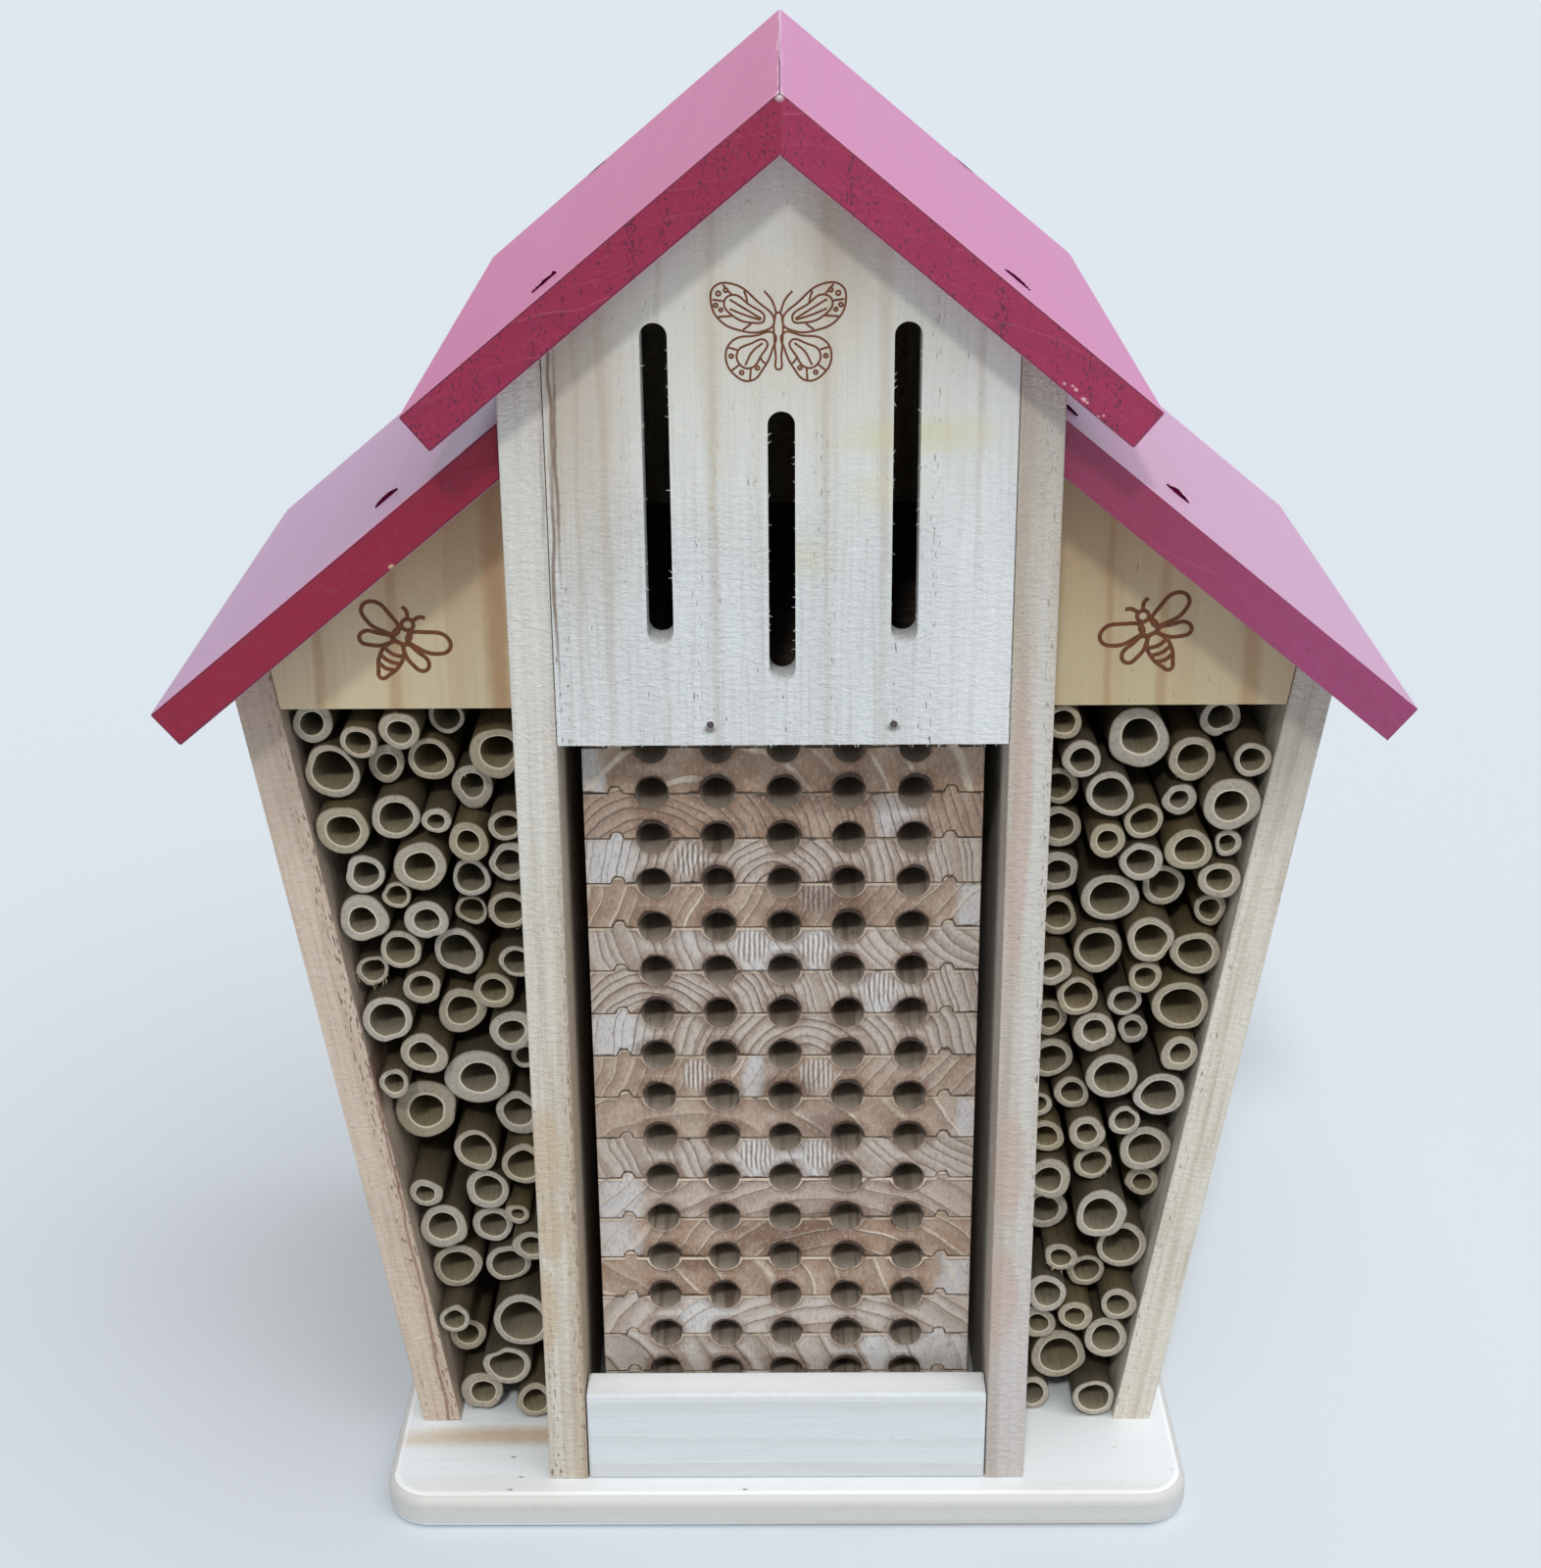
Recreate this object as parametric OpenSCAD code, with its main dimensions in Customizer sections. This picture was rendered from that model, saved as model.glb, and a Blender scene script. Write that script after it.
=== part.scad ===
// Mason bee house: a gabled timber box with a stack of grooved nesting trays in the middle,
// a slotted butterfly chamber above it and a flared wing full of bamboo canes on each side.
// Front is -Y, up is +Z. The origin is under the middle of the house, where it stands.

/* [Boards] */
// Thickness of the planed boards
board = 10; // [8:0.5:12]
// Thickness of the back boards
back_t = 6; // [4:0.5:10]
// Gap left in each glued and stapled joint
joint = 0.2; // [0.1:0.05:0.3]

/* [Middle bay] */
// Inner width between the two uprights
bay_w = 104; // [98:0.5:116]
// Height of the nest opening, base to front panel
nest_h = 207; // [195:1:220]
// Height of the sill across the foot of the opening
sill_h = 26.5; // [20:0.5:32]

/* [Roof] */
// Depth of both roofs, front edge to back edge
roof_depth = 184; // [170:1:210]
// How far the main roof hangs over the front of the uprights
overhang = 12; // [5:0.5:20]
// Slope of both roofs
slope = 39.3; // [36:0.1:42]
// How far the main eaves reach beyond the uprights
main_eave = 19.6; // [14:0.2:24]
// How far the side eaves reach beyond the outer boards
side_eave = 14.6; // [8:0.2:20]
// Height of upright that shows between the side roof and the main roof
roof_step = 8; // [6:0.5:16]
// How far the side roofs sit behind the front of the uprights
side_roof_recess = 4; // [0:0.5:10]

/* [Wings] */
// Clear width of a wing at the floor
foot_w = 26.4; // [24:0.2:30]
// Height of a side panel where it meets the upright
side_panel_h = 62.3; // [58:0.1:68]
// Lean of the outer boards, in degrees from upright
flare = 8.8; // [6:0.2:10]
// How far the wings sit behind the front of the uprights
wing_recess = 24.5; // [14:0.5:32]

/* [Base] */
// How far the base reaches beyond the feet of the outer boards
base_side_lip = 6.5; // [3:0.5:15]
// How far the base reaches in front of the uprights
base_lip = 8; // [5:0.5:20]
// Radius of the base's corners seen from above
corner_r = 12; // [6:0.5:18]
// Radius of the round edge worked along the base
edge_r = 3; // [1:0.5:3.5]

/* [Trays] */
// Number of trays in the stack, the thin one on top included
tray_count = 18; // [16:1:19]
// Space between the trays and each upright
tray_side_gap = 4.2; // [0.5:0.1:6]
// Height of the lowest tray, which has grooves on its top only
first_tray_h = 10.7; // [9:0.1:12]
// Height of the thin tray on top, which has grooves underneath only
top_tray_h = 6.5; // [6:0.1:8]
// How far the trays sit behind the front of the uprights
tray_recess = 15.5; // [13:0.5:30]
// Gap between one tray and the next
tray_gap = 0.3; // [0.2:0.05:0.4]
// Diameter of a nest hole
hole_d = 8; // [5:0.5:9]
// Spacing of the nest holes across a tray
hole_pitch = 15.7; // [14:0.1:16.5]
// Nest holes across a tray
hole_count = 5; // [3:1:5]
// Width of the tongue that locks a tray to the next
tongue_w = 3; // [2:0.25:4]
// Height of the tongue
tongue_h = 1.8; // [1.5:0.1:2.2]

/* [Front panel] */
// Width of the butterfly slots
slot_w = 6; // [5:0.5:8]
// Spacing of the outer slots from the middle one
slot_pitch = 27.5; // [20:0.5:32]
// Length of the outer slots
slot_len = 73; // [50:1:80]
// Length of the middle slot
mid_slot_len = 62.5; // [40:0.5:80]
// Height of the outer slots' lower ends above the panel's lower edge
slot_rise = 24.5; // [16:0.5:30]
// How much lower the middle slot starts
mid_slot_drop = 9; // [0:0.5:14]

/* [Canes] */
// Gap between canes, and between a cane and the wood
cane_gap = 0.3; // [0.2:0.05:0.5]
// Least distance of a cane's mouth behind the front of its wing
cane_recess = 0.5; // [0:0.5:10]
// How much further back the deepest mouth sits
cane_stagger = 9; // [0:1:20]

/* [Fasteners] */
// Width across the crown of a roof staple
staple_w = 6; // [4:0.5:9]
// Wire size of a roof staple
staple_wire = 1.2; // [0.8:0.1:1.6]
// Length of a staple's legs
staple_leg = 22; // [18:1:26]
// Clearance round a staple or brad in its hole
pin_fit = 0.15; // [0.1:0.05:0.2]
// Depth that a staple's crown is driven below the roof
staple_sink = 0.8; // [0.2:0.1:1.5]
// Diameter of the headless brads in the front panel
brad_d = 1.4; // [1:0.1:2]
// Length of a brad
brad_len = 24; // [18:1:30]
// Spacing of the two brads
brad_pitch = 42; // [30:1:70]
// How far the pair of brads sits to the right of the middle
brad_shift = 4.4; // [-6:0.2:6]

/* [Hidden] */
$fn = 48;
SIDES = ["left", "right"];
TRAY_NAMES = [for (i = [1:tray_count]) str("tray_", i < 10 ? "0" : "", i)];
CANE_NODES = 6;
CANE_NAMES = [for (s = SIDES) for (i = [1:CANE_NODES]) str("canes_", s, "_", i)];

pine = "#e3cfae";
pale_pine = "#efe4cf";
tray_pine = "#b98f6c";
stain = "#9b3058";
bamboo = "#a89a78";
steel = "#4a4548";

// Planes that the boards share
back_y = roof_depth / 2;
roof_y = -roof_depth / 2;
front_y = roof_y + overhang;
wing_y = front_y + wing_recess;
side_roof_y = front_y + side_roof_recess;
tray_y = front_y + tray_recess;
inner_back_y = back_y - back_t;
floor_z = board;
nest_top = floor_z + nest_h;
upright_out = bay_w / 2 + board;
wing_foot = upright_out + foot_w + board / cos(flare);
base_w = 2 * (wing_foot + base_side_lip);

// Height of a roof's underside at a distance from the middle
roof_rise = board / cos(slope);
function side_under(x) = nest_top + side_panel_h - (x - upright_out) * tan(slope);
function main_under(x) = nest_top + side_panel_h + roof_rise + roof_step - (x - upright_out) * tan(slope);

// Distance from the middle at which a line that leans out from x0 at the floor meets the side roof
function lean_top(x0) = (side_under(0) - floor_z + x0 / tan(flare)) / (tan(slope) + 1 / tan(flare));
wing_top_x = lean_top(upright_out + foot_w - joint);
side_reach = lean_top(wing_foot) + side_eave;
main_reach = upright_out + main_eave;

// Trays: the pitch fills the opening from the lowest tray to the thin one on top
tray_w = bay_w - 2 * tray_side_gap;
tray_pitch = (nest_h - joint - top_tray_h - first_tray_h) / (tray_count - 2);
function tray_top(i) = i == tray_count ? nest_top - joint : floor_z + first_tray_h + (i - 1) * tray_pitch;

// Draws a module for the right side, mirrored for the left
module on_side(side) {
    if (side == "left") mirror([1, 0, 0]) children();
    else children();
}

// Turns an outline drawn in X and Z into a board from one depth to another
module board_between(y0, y1) {
    translate([0, y1, 0]) rotate([90, 0, 0]) linear_extrude(y1 - y0) children();
}

// Rounded bar section of the base: flat top and bottom with round edges
module base_section(w) {
    translate([-w / 2, edge_r]) square([w, board - 2 * edge_r]);
    translate([edge_r - w / 2, 0]) square([w - 2 * edge_r, board]);
    for (x = [-1, 1], z = [edge_r, board - edge_r])
        translate([x * (w / 2 - edge_r), z]) circle(edge_r);
}

module base_corner() {
    rotate_extrude($fn = 64) intersection() {
        base_section(2 * corner_r);
        square([corner_r, board]);
    }
}

module base_board() {
    y0 = front_y - base_lip;
    depth = back_y - y0;
    color(pale_pine) translate([0, y0 + depth / 2, 0]) {
        translate([0, depth / 2 - corner_r, 0]) rotate([90, 0, 0])
            linear_extrude(depth - 2 * corner_r) base_section(base_w);
        translate([corner_r - base_w / 2, 0, 0]) rotate([90, 0, 90])
            linear_extrude(base_w - 2 * corner_r) base_section(depth);
        for (x = [-1, 1], y = [-1, 1])
            translate([x * (base_w / 2 - corner_r), y * (depth / 2 - corner_r), 0]) base_corner();
    }
}

// Shape between two upright lines, from a level up to the underside of the main roof
module gable_outline(half_w, z0) {
    side_z = main_under(half_w) - joint;
    polygon([[-half_w, z0], [half_w, z0], [half_w, side_z], [0, main_under(0) - joint], [-half_w, side_z]]);
}

module upright(side) {
    color(pine) on_side(side) board_between(front_y, back_y) polygon([
        [bay_w / 2, floor_z], [upright_out, floor_z],
        [upright_out, main_under(upright_out) - joint], [bay_w / 2, main_under(bay_w / 2) - joint]]);
}

module butterfly_slot(x, z, len) {
    for (end = [z + slot_w / 2, z + len - slot_w / 2])
        translate([x, front_y - 1, end]) rotate([-90, 0, 0]) cylinder(d = slot_w, h = board + 2);
    translate([x - slot_w / 2, front_y - 1, z + slot_w / 2]) cube([slot_w, board + 2, len - slot_w]);
}

module front_panel() {
    color(pale_pine) difference() {
        board_between(front_y, front_y + board) gable_outline(bay_w / 2 - joint, nest_top);
        for (s = [-1, 1]) butterfly_slot(s * slot_pitch, nest_top + slot_rise, slot_len);
        butterfly_slot(0, nest_top + slot_rise - mid_slot_drop, mid_slot_len);
        brads(pin_fit);
        for (side = SIDES) on_side(side) main_staples(pin_fit);
    }
}

module front_sill() {
    color(pale_pine) translate([joint - bay_w / 2, front_y, floor_z])
        cube([bay_w - 2 * joint, board, sill_h]);
}

module chamber_floor() {
    y0 = front_y + board + joint;
    color(pine) difference() {
        translate([joint - bay_w / 2, y0, nest_top])
            cube([bay_w - 2 * joint, inner_back_y - joint - y0, board]);
        brads(pin_fit);
    }
}

module back_panel() {
    color(pine) difference() {
        board_between(inner_back_y, back_y) gable_outline(bay_w / 2 - joint, floor_z);
        for (side = SIDES) on_side(side) main_staples(pin_fit);
    }
}

// Face of a wing between upright and outer board, from a level to the side roof or to another level
module wing_outline(z0, z1 = 0) {
    function inner(z) = upright_out + foot_w + (z - floor_z) * tan(flare) - joint;
    x0 = upright_out + joint;
    if (z1 > 0) polygon([[x0, z0], [inner(z0), z0], [inner(z1), z1], [x0, z1]]);
    else polygon([[x0, z0], [inner(z0), z0], [wing_top_x, side_under(wing_top_x) - joint],
        [x0, side_under(x0) - joint]]);
}

module side_back(side) {
    color(pine) on_side(side) difference() {
        board_between(inner_back_y, back_y) wing_outline(floor_z);
        side_staples(pin_fit);
    }
}

module side_panel(side) {
    color(pine) on_side(side) difference() {
        board_between(wing_y, wing_y + board) wing_outline(nest_top);
        side_staples(pin_fit);
    }
}

module cane_shelf(side) {
    color(pine) on_side(side)
        board_between(wing_y + board + joint, inner_back_y - joint) wing_outline(nest_top, nest_top + board);
}

// Leaning outer board, cut level at its foot and to the roof's slope at its top
module outer_board(side) {
    top = side_under(upright_out);
    lean = (top - floor_z) * tan(flare);
    in_x = upright_out + foot_w;
    color(pine) on_side(side) board_between(wing_y, back_y) intersection() {
        polygon([[in_x, floor_z], [wing_foot, floor_z], [wing_foot + lean, top], [in_x + lean, top]]);
        polygon([[0, 0], [side_reach, 0], [side_reach, side_under(side_reach) - joint],
            [0, side_under(0) - joint]]);
    }
}

// Main roof board, mitred at the ridge and cut square at the eave
module roof_main(side) {
    eave = [main_reach, main_under(main_reach) + roof_rise];
    m = joint / 2;
    color(stain) on_side(side) difference() {
        board_between(roof_y, back_y) polygon([
            [m, main_under(m) + roof_rise], eave, eave - board * [sin(slope), cos(slope)], [m, main_under(m)]]);
        main_staples(pin_fit);
    }
}

// Side roof board, cut plumb against the upright and square at the eave
module roof_side(side) {
    eave = [side_reach, side_under(side_reach) + roof_rise];
    x0 = upright_out + joint;
    color(stain) on_side(side) difference() {
        board_between(side_roof_y, back_y) polygon([
            [x0, side_under(x0) + roof_rise], eave, eave - board * [sin(slope), cos(slope)],
            [x0, side_under(x0)]]);
        side_staples(pin_fit);
    }
}

// One staple at a point of a roof's top, its crown running down the slope
module staple(x, z, y, grow) {
    w = staple_w + 2 * grow;
    t = staple_wire + 2 * grow;
    translate([x, y, z]) rotate([0, slope, 0]) translate([0, 0, -staple_sink]) {
        translate([-w / 2, -t / 2, -staple_wire - grow])
            cube([w, t, staple_wire + grow + (grow > 0 ? staple_sink + 1 : 0)]);
        for (s = [-1, 1])
            translate([s * (w - t) / 2 - t / 2, -t / 2, -staple_leg - grow]) cube([t, t, staple_leg + grow]);
    }
}

// Staples down through the right main roof board into the front panel and the back panel
module main_staples(grow) {
    x = bay_w / 2 - staple_wire;
    for (y = [front_y + board / 2, inner_back_y + back_t / 2])
        staple(x, main_under(x) + roof_rise, y, grow);
}

// Staples down through the right side roof board into the side panel and the side back
module side_staples(grow) {
    x = (upright_out + wing_top_x) / 2;
    for (y = [wing_y + board / 2, inner_back_y + back_t / 2])
        staple(x, side_under(x) + roof_rise, y, grow);
}

module roof_staples() {
    color(steel) for (side = SIDES) on_side(side) {
        main_staples(0);
        side_staples(0);
    }
}

// Headless brads through the front panel into the edge of the chamber floor
module brads(grow) {
    for (s = [-1, 1])
        translate([brad_shift + s * brad_pitch / 2, front_y + 0.3 - 2 * grow, nest_top + board / 2])
            rotate([-90, 0, 0]) cylinder(d = brad_d + 2 * grow, h = brad_len + 3 * grow);
}

module panel_brads() {
    color(steel) brads(0);
}

// Section of the tongue along a tray's top, or of the groove that takes it
module tongue_section(grow) {
    r = tongue_w / 2 + grow;
    translate([0, tongue_h - tongue_w / 2]) circle(r);
    translate([-r, -1]) square([2 * r, 1 + tongue_h - tongue_w / 2]);
}

// Grooved tray: half of each nest hole is cut in its top and half in the tray above
module tray(i) {
    z0 = i == 1 ? floor_z : tray_top(i - 1) + tray_gap / 2;
    z1 = i == tray_count ? tray_top(i) : tray_top(i) - tray_gap / 2;
    tongue_x = tray_w / 2 - (tray_w - hole_pitch * (hole_count - 1) - hole_d) / 4 - tongue_w / 2;
    color(tray_pine) board_between(tray_y, inner_back_y - tray_gap) difference() {
        union() {
            translate([-tray_w / 2, z0]) square([tray_w, z1 - z0]);
            if (i < tray_count) for (s = [-1, 1])
                translate([s * tongue_x, z1]) tongue_section(0);
        }
        for (k = [0:hole_count - 1]) translate([(k - (hole_count - 1) / 2) * hole_pitch, 0]) {
            if (i > 1) translate([0, tray_top(i - 1)]) circle(d = hole_d);
            if (i < tray_count) translate([0, tray_top(i)]) circle(d = hole_d);
        }
        if (i > 1) for (s = [-1, 1])
            translate([s * tongue_x, z0 - tray_gap]) tongue_section(tray_gap);
    }
}

// Canes of each wing in the order they were laid in, from the floor up. Each has its
// diameter and its place across the wing, 0 at the upright and 1 at the outer board.
LEFT_CANES = [
    [12, 0.25], [12.5, 0.75], [13.5, 0.3], [10.5, 0.85], [9.5, 0.9], [16.5, 0.35], [14.5, 0.8],
    [12.5, 0.45], [10, 0.15], [11, 0.1], [13.5, 0.85], [7, 0.2], [12, 0.45], [9.5, 0.9],
    [12.5, 0.15], [13.5, 0.5], [18, 0.8], [14, 0.15], [17.5, 0.5], [9, 0.95], [9, 0.1],
    [13, 0.75], [13, 0.15], [13.5, 0.85], [14, 0.5], [10.5, 0.25], [9.5, 0.95], [10.5, 0.6],
    [13.5, 0.35], [9.5, 0.1], [11, 0.75], [11.5, 0.6], [9, 0.35], [12, 0.1], [13.5, 0.9],
    [7.5, 0.6], [11, 0.3], [11, 0.1], [11, 0.7], [14, 0.9], [14, 0.45], [11, 0.15],
    [12.5, 0.65], [9.5, 0.1], [7.5, 0.5], [12, 0.35], [14.5, 0.85], [10.5, 0.65], [14, 0.1],
    [12, 0.5], [9.5, 0.75], [11, 0.9]];
RIGHT_CANES = [
    [10, 0.2], [12, 0.75], [16, 0.45], [10.5, 0.2], [12.5, 0.8], [10, 0.4], [11.5, 0.2],
    [10.5, 0.85], [10.5, 0.55], [9.5, 0.35], [14, 0.8], [13, 0.2], [15, 0.55], [9.5, 0.9],
    [13, 0.2], [10.5, 0.5], [14, 0.8], [10.5, 0.1], [10.5, 0.35], [9, 0.55], [14.5, 0.8],
    [7, 0.1], [10, 0.3], [12, 0.15], [13.5, 0.5], [10.5, 0.85], [10.5, 0.1], [11.5, 0.35],
    [9, 0.55], [15, 0.85], [11, 0.35], [9, 0.55], [10, 0.1], [13.5, 0.35], [9, 0.65],
    [13, 0.85], [11.5, 0.15], [12.5, 0.7], [9.5, 0.9], [15, 0.4], [12, 0.1], [11.5, 0.65],
    [11, 0.9], [11, 0.4], [12, 0.65], [12, 0.1], [9.5, 0.3], [10, 0.5], [7.5, 0.7],
    [14.5, 0.85], [10.5, 0.1], [12.5, 0.35], [9, 0.65], [9.5, 0.9]];
// Canes tried again from the start of the list once it is used up, to fill a taller wing
SPARE_CANES = 12;
// How many of the canes laid last a new one may lie against
REACH = 16;
// How strongly a cane keeps its place across the wing, against sinking lower
KEEP = 0.8;

// Inner width of a wing at a height above the floor
function wing_w(z) = foot_w + z * tan(flare);

// Places where a cane of radius r would touch two of: floor, upright, outer board, laid canes.
// Radii include half the gap, and a laid cane is [x, z, r].
function floor_spots(r, laid) = concat(
    [[r, r], [wing_w(0) - r * (1 - sin(flare)) / cos(flare), r]],
    [for (c = laid, s = [-1, 1]) let (q = pow(r + c.z, 2) - pow(r - c.y, 2)) if (q > 0) [c.x + s * sqrt(q), r]]);
function wall_spots(r, laid) = [for (c = laid)
    let (q = pow(r + c.z, 2) - pow(r - c.x, 2)) if (q > 0) [r, c.y + sqrt(q)]];
function lean_spots(r, laid) = [for (c = laid)
    let (a = [wing_w(0) - r / cos(flare), 0], u = [sin(flare), cos(flare)], d = [c.x, c.y] - a,
        b = u * d, q = b * b - d * d + pow(r + c.z, 2)) if (q > 0) a + (b + sqrt(q)) * u];
function pair_spots(r, laid) = [for (i = [0:1:len(laid) - 2], j = [i + 1:1:len(laid) - 1])
    let (a = laid[i], b = laid[j], d = [b.x - a.x, b.y - a.y], n = norm(d), p = r + a.z, q = r + b.z)
    if (n < p + q) let (e = (n * n + p * p - q * q) / (2 * n), h = sqrt(max(0, p * p - e * e)),
        s = d.x > 0 ? 1 : -1) [a.x + (e * d.x - s * h * d.y) / n, a.y + (e * d.y + s * h * d.x) / n]];

// A place is free if the cane clears both walls, the floor, the shelf and every laid cane
function is_free(p, r, laid) = p.x > r - 0.01 && p.y > r - 0.01 && p.y + r < nest_h + 0.01
    && (wing_w(p.y) - p.x) * cos(flare) > r - 0.01
    && len([for (c = laid) if (norm([p.x - c.x, p.y - c.y]) < r + c.z - 0.01) 1]) == 0;

// Lays the canes one by one, each in the free place that is lowest and nearest to where it is wanted
function lay(canes, laid = [], i = 0) = i == len(canes) + SPARE_CANES ? laid :
    let (cane = canes[i % len(canes)], r = (cane[0] + cane_gap) / 2,
        near = [for (k = [max(0, len(laid) - REACH):1:len(laid) - 1]) laid[k]],
        spots = concat(floor_spots(r, near), wall_spots(r, near), lean_spots(r, near), pair_spots(r, near)),
        open = [for (p = spots) if (is_free(p, r, laid)) p],
        costs = [for (p = open) p.y + KEEP * abs(p.x - cane[1] * wing_w(p.y))],
        least = len(open) == 0 ? 0 : min(costs), best = [for (k = [0:1:len(open) - 1]) if (costs[k] == least) open[k]])
    lay(canes, len(open) == 0 ? laid : concat(laid, [[best[0].x, best[0].y, r]]), i + 1);

// One group of canes: each is a length of bamboo with its bore, laid along Y up to the back board
module canes(side, group) {
    laid = lay(side == "left" ? LEFT_CANES : RIGHT_CANES);
    seed = side == "left" ? 11 : 23;
    mouth = [for (m = rands(0, 1, len(laid), seed)) m * m];
    wall = rands(0.13, 0.24, len(laid), seed + 1);
    first = floor((group - 1) * len(laid) / CANE_NODES);
    last = floor(group * len(laid) / CANE_NODES) - 1;
    color(bamboo) on_side(side) for (k = [first:last]) {
        r = laid[k].z - cane_gap / 2;
        y0 = wing_y + cane_recess + cane_stagger * mouth[k];
        len = inner_back_y - cane_gap - y0;
        translate([upright_out + laid[k].x, y0, floor_z + laid[k].y]) rotate([-90, 0, 0]) difference() {
            cylinder(r = r, h = len);
            translate([0, 0, -1]) cylinder(r = r * (1 - 2 * wall[k]), h = len + 2);
        }
    }
}

base_board();
front_panel();
front_sill();
chamber_floor();
back_panel();
roof_staples();
panel_brads();
for (side = SIDES) {
    upright(side);
    side_back(side);
    outer_board(side);
    side_panel(side);
    cane_shelf(side);
    roof_main(side);
    roof_side(side);
    for (i = [1:CANE_NODES])
        canes(side, i);
}
for (i = [1:tray_count])
    tray(i);
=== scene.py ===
# %% [markdown]
# # A mason bee house
# The house is a small timber box for solitary bees. A stack of grooved trays fills the middle,
# cut canes fill the two flared wings, and stained boards make the roof. This lesson dresses the
# measured model with eased edges, grain, burnt drawings and torn fibres. The model comes first,
# because every piece below takes its place from it.

import math
import random

import bmesh
import bpy
from mathutils import Matrix, Vector, noise


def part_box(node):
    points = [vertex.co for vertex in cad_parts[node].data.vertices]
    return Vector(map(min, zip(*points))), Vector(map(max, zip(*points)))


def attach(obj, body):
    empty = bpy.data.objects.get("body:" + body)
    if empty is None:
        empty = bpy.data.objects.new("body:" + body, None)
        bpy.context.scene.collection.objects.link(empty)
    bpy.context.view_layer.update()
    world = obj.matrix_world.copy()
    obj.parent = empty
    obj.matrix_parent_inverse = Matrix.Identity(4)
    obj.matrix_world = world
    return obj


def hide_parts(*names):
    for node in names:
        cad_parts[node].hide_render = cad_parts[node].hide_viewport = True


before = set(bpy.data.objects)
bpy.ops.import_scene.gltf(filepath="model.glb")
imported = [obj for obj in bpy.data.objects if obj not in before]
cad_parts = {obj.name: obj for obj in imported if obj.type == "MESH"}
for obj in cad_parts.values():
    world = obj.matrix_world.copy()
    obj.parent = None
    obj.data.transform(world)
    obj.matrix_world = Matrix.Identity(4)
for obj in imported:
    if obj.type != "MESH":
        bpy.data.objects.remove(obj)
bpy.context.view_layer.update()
MM = 0.001

# %% [markdown]
# Lengths are written in millimetres, with X to the right, Y to the back and Z up. Nearly all that
# shows looks forward, so each plane that does gets a name here. Marks in the wood are put on them.

# %% Name the planes that look forward
HOUSE_FRONT, ROOF_FRONT, SIDE_ROOF_FRONT, TRAY_FRONT, WING_FRONT = -80, -92, -76, -64.5, -55.5
FORWARD, SKYWARD = (0, -1, 0), (0, 0, 1)

# %% [markdown]
# ## Where the viewer stands
# The house was seen from a little above its roof edge, straight in front, about 60 cm away. The
# camera's place and its three directions are written as numbers, so the perspective of the
# roofs, which depends on distance and not on lens, comes out as it was seen.

# %% Set the camera
EYE = Vector((0.6087, -599.975, 423.74)) * MM
LOOK = Vector((-0.006248, 0.923186, -0.384304))
RIGHT = Vector((0.99997, 0.003985, -0.006685))
UP = RIGHT.cross(LOOK)

camera_data = bpy.data.cameras.new("camera")
camera_data.lens = 55.92
# This width lies along the longer side of the picture, which is its height
camera_data.sensor_width = 36.0
camera_data.clip_start = 0.01
camera = bpy.data.objects.new("camera", camera_data)
camera.matrix_world = Matrix.Translation(EYE) @ Matrix((RIGHT, UP, -LOOK)).transposed().to_4x4()
bpy.context.scene.collection.objects.link(camera)
bpy.context.scene.camera = camera
bpy.context.scene.view_settings.view_transform = "Standard"
print("camera height in mm:", round(camera.location.z / MM))

# %% [markdown]
# ## Colours and nodes
# A colour is written as a painter would mix it for a screen, as sRGB hex, and turned to linear
# light once. One helper adds any node: it takes the node's settings, and for each input either
# a value or the output to link to it. Settings that many nodes share have a name of their own.
# Most finishes are one colour with others laid over it, so a second helper does that.

# %% Helpers for colours and nodes
def linear(shade):
    """Linear RGBA of an sRGB hex colour."""
    parts = [int(shade[i:i + 2], 16) / 255 for i in (1, 3, 5)]
    return [c / 12.92 if c <= 0.04045 else ((c + 0.055) / 1.055) ** 2.4 for c in parts] + [1.0]


def add(tree, kind, settings=None, inputs=None, output=0):
    """Adds a shader node, sets it, feeds its inputs and gives back one of its outputs."""
    node = tree.nodes.new("ShaderNode" + kind)
    for name, value in (settings or {}).items():
        setattr(node, name, value)
    for name, value in (inputs or {}).items():
        if isinstance(value, bpy.types.NodeSocket):
            tree.links.new(value, node.inputs[name])
        else:
            node.inputs[name].default_value = value
    return node.outputs[output]


def painted(tree, colour, coats):
    """A colour with coats of (share, shade) laid over it in turn. A shade is hex or an output."""
    for share, shade in coats:
        below, above = (linear(c) if isinstance(c, str) else c for c in (colour, shade))
        colour = add(tree, "Mix", {"data_type": "RGBA"}, {0: share, 6: below, 7: above}, 2)
    return colour


MULTIPLY = {"operation": "MULTIPLY"}
MULTIPLY_ADD = {"operation": "MULTIPLY_ADD"}
SMOOTH = {"interpolation_type": "SMOOTHSTEP"}
TO_MILLIMETRES = (1000, 1000, 1000)


def new_finish(name):
    """A new material with its node tree and its shader."""
    finish = bpy.data.materials.new(name)
    finish.use_nodes = True
    return finish, finish.node_tree, finish.node_tree.nodes["Principled BSDF"]


print("pale pine in linear light:", [round(c, 2) for c in linear("#CFCDC6")])

# %% [markdown]
# ## Growth rings
# The boards are fast-grown pine, planed and left bare. Cut from a trunk, a board shows the
# growth rings as streaks: pale early wood that darkens slowly to a narrow tan line of late wood
# and then breaks off sharply. A photograph of wood would only fit one face. Here the rings are
# worked out in space instead, as distance from the heart of the trunk, so they run round every
# edge of a board the way they do in timber. Each board gets its own heart, so no two match.

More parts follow.
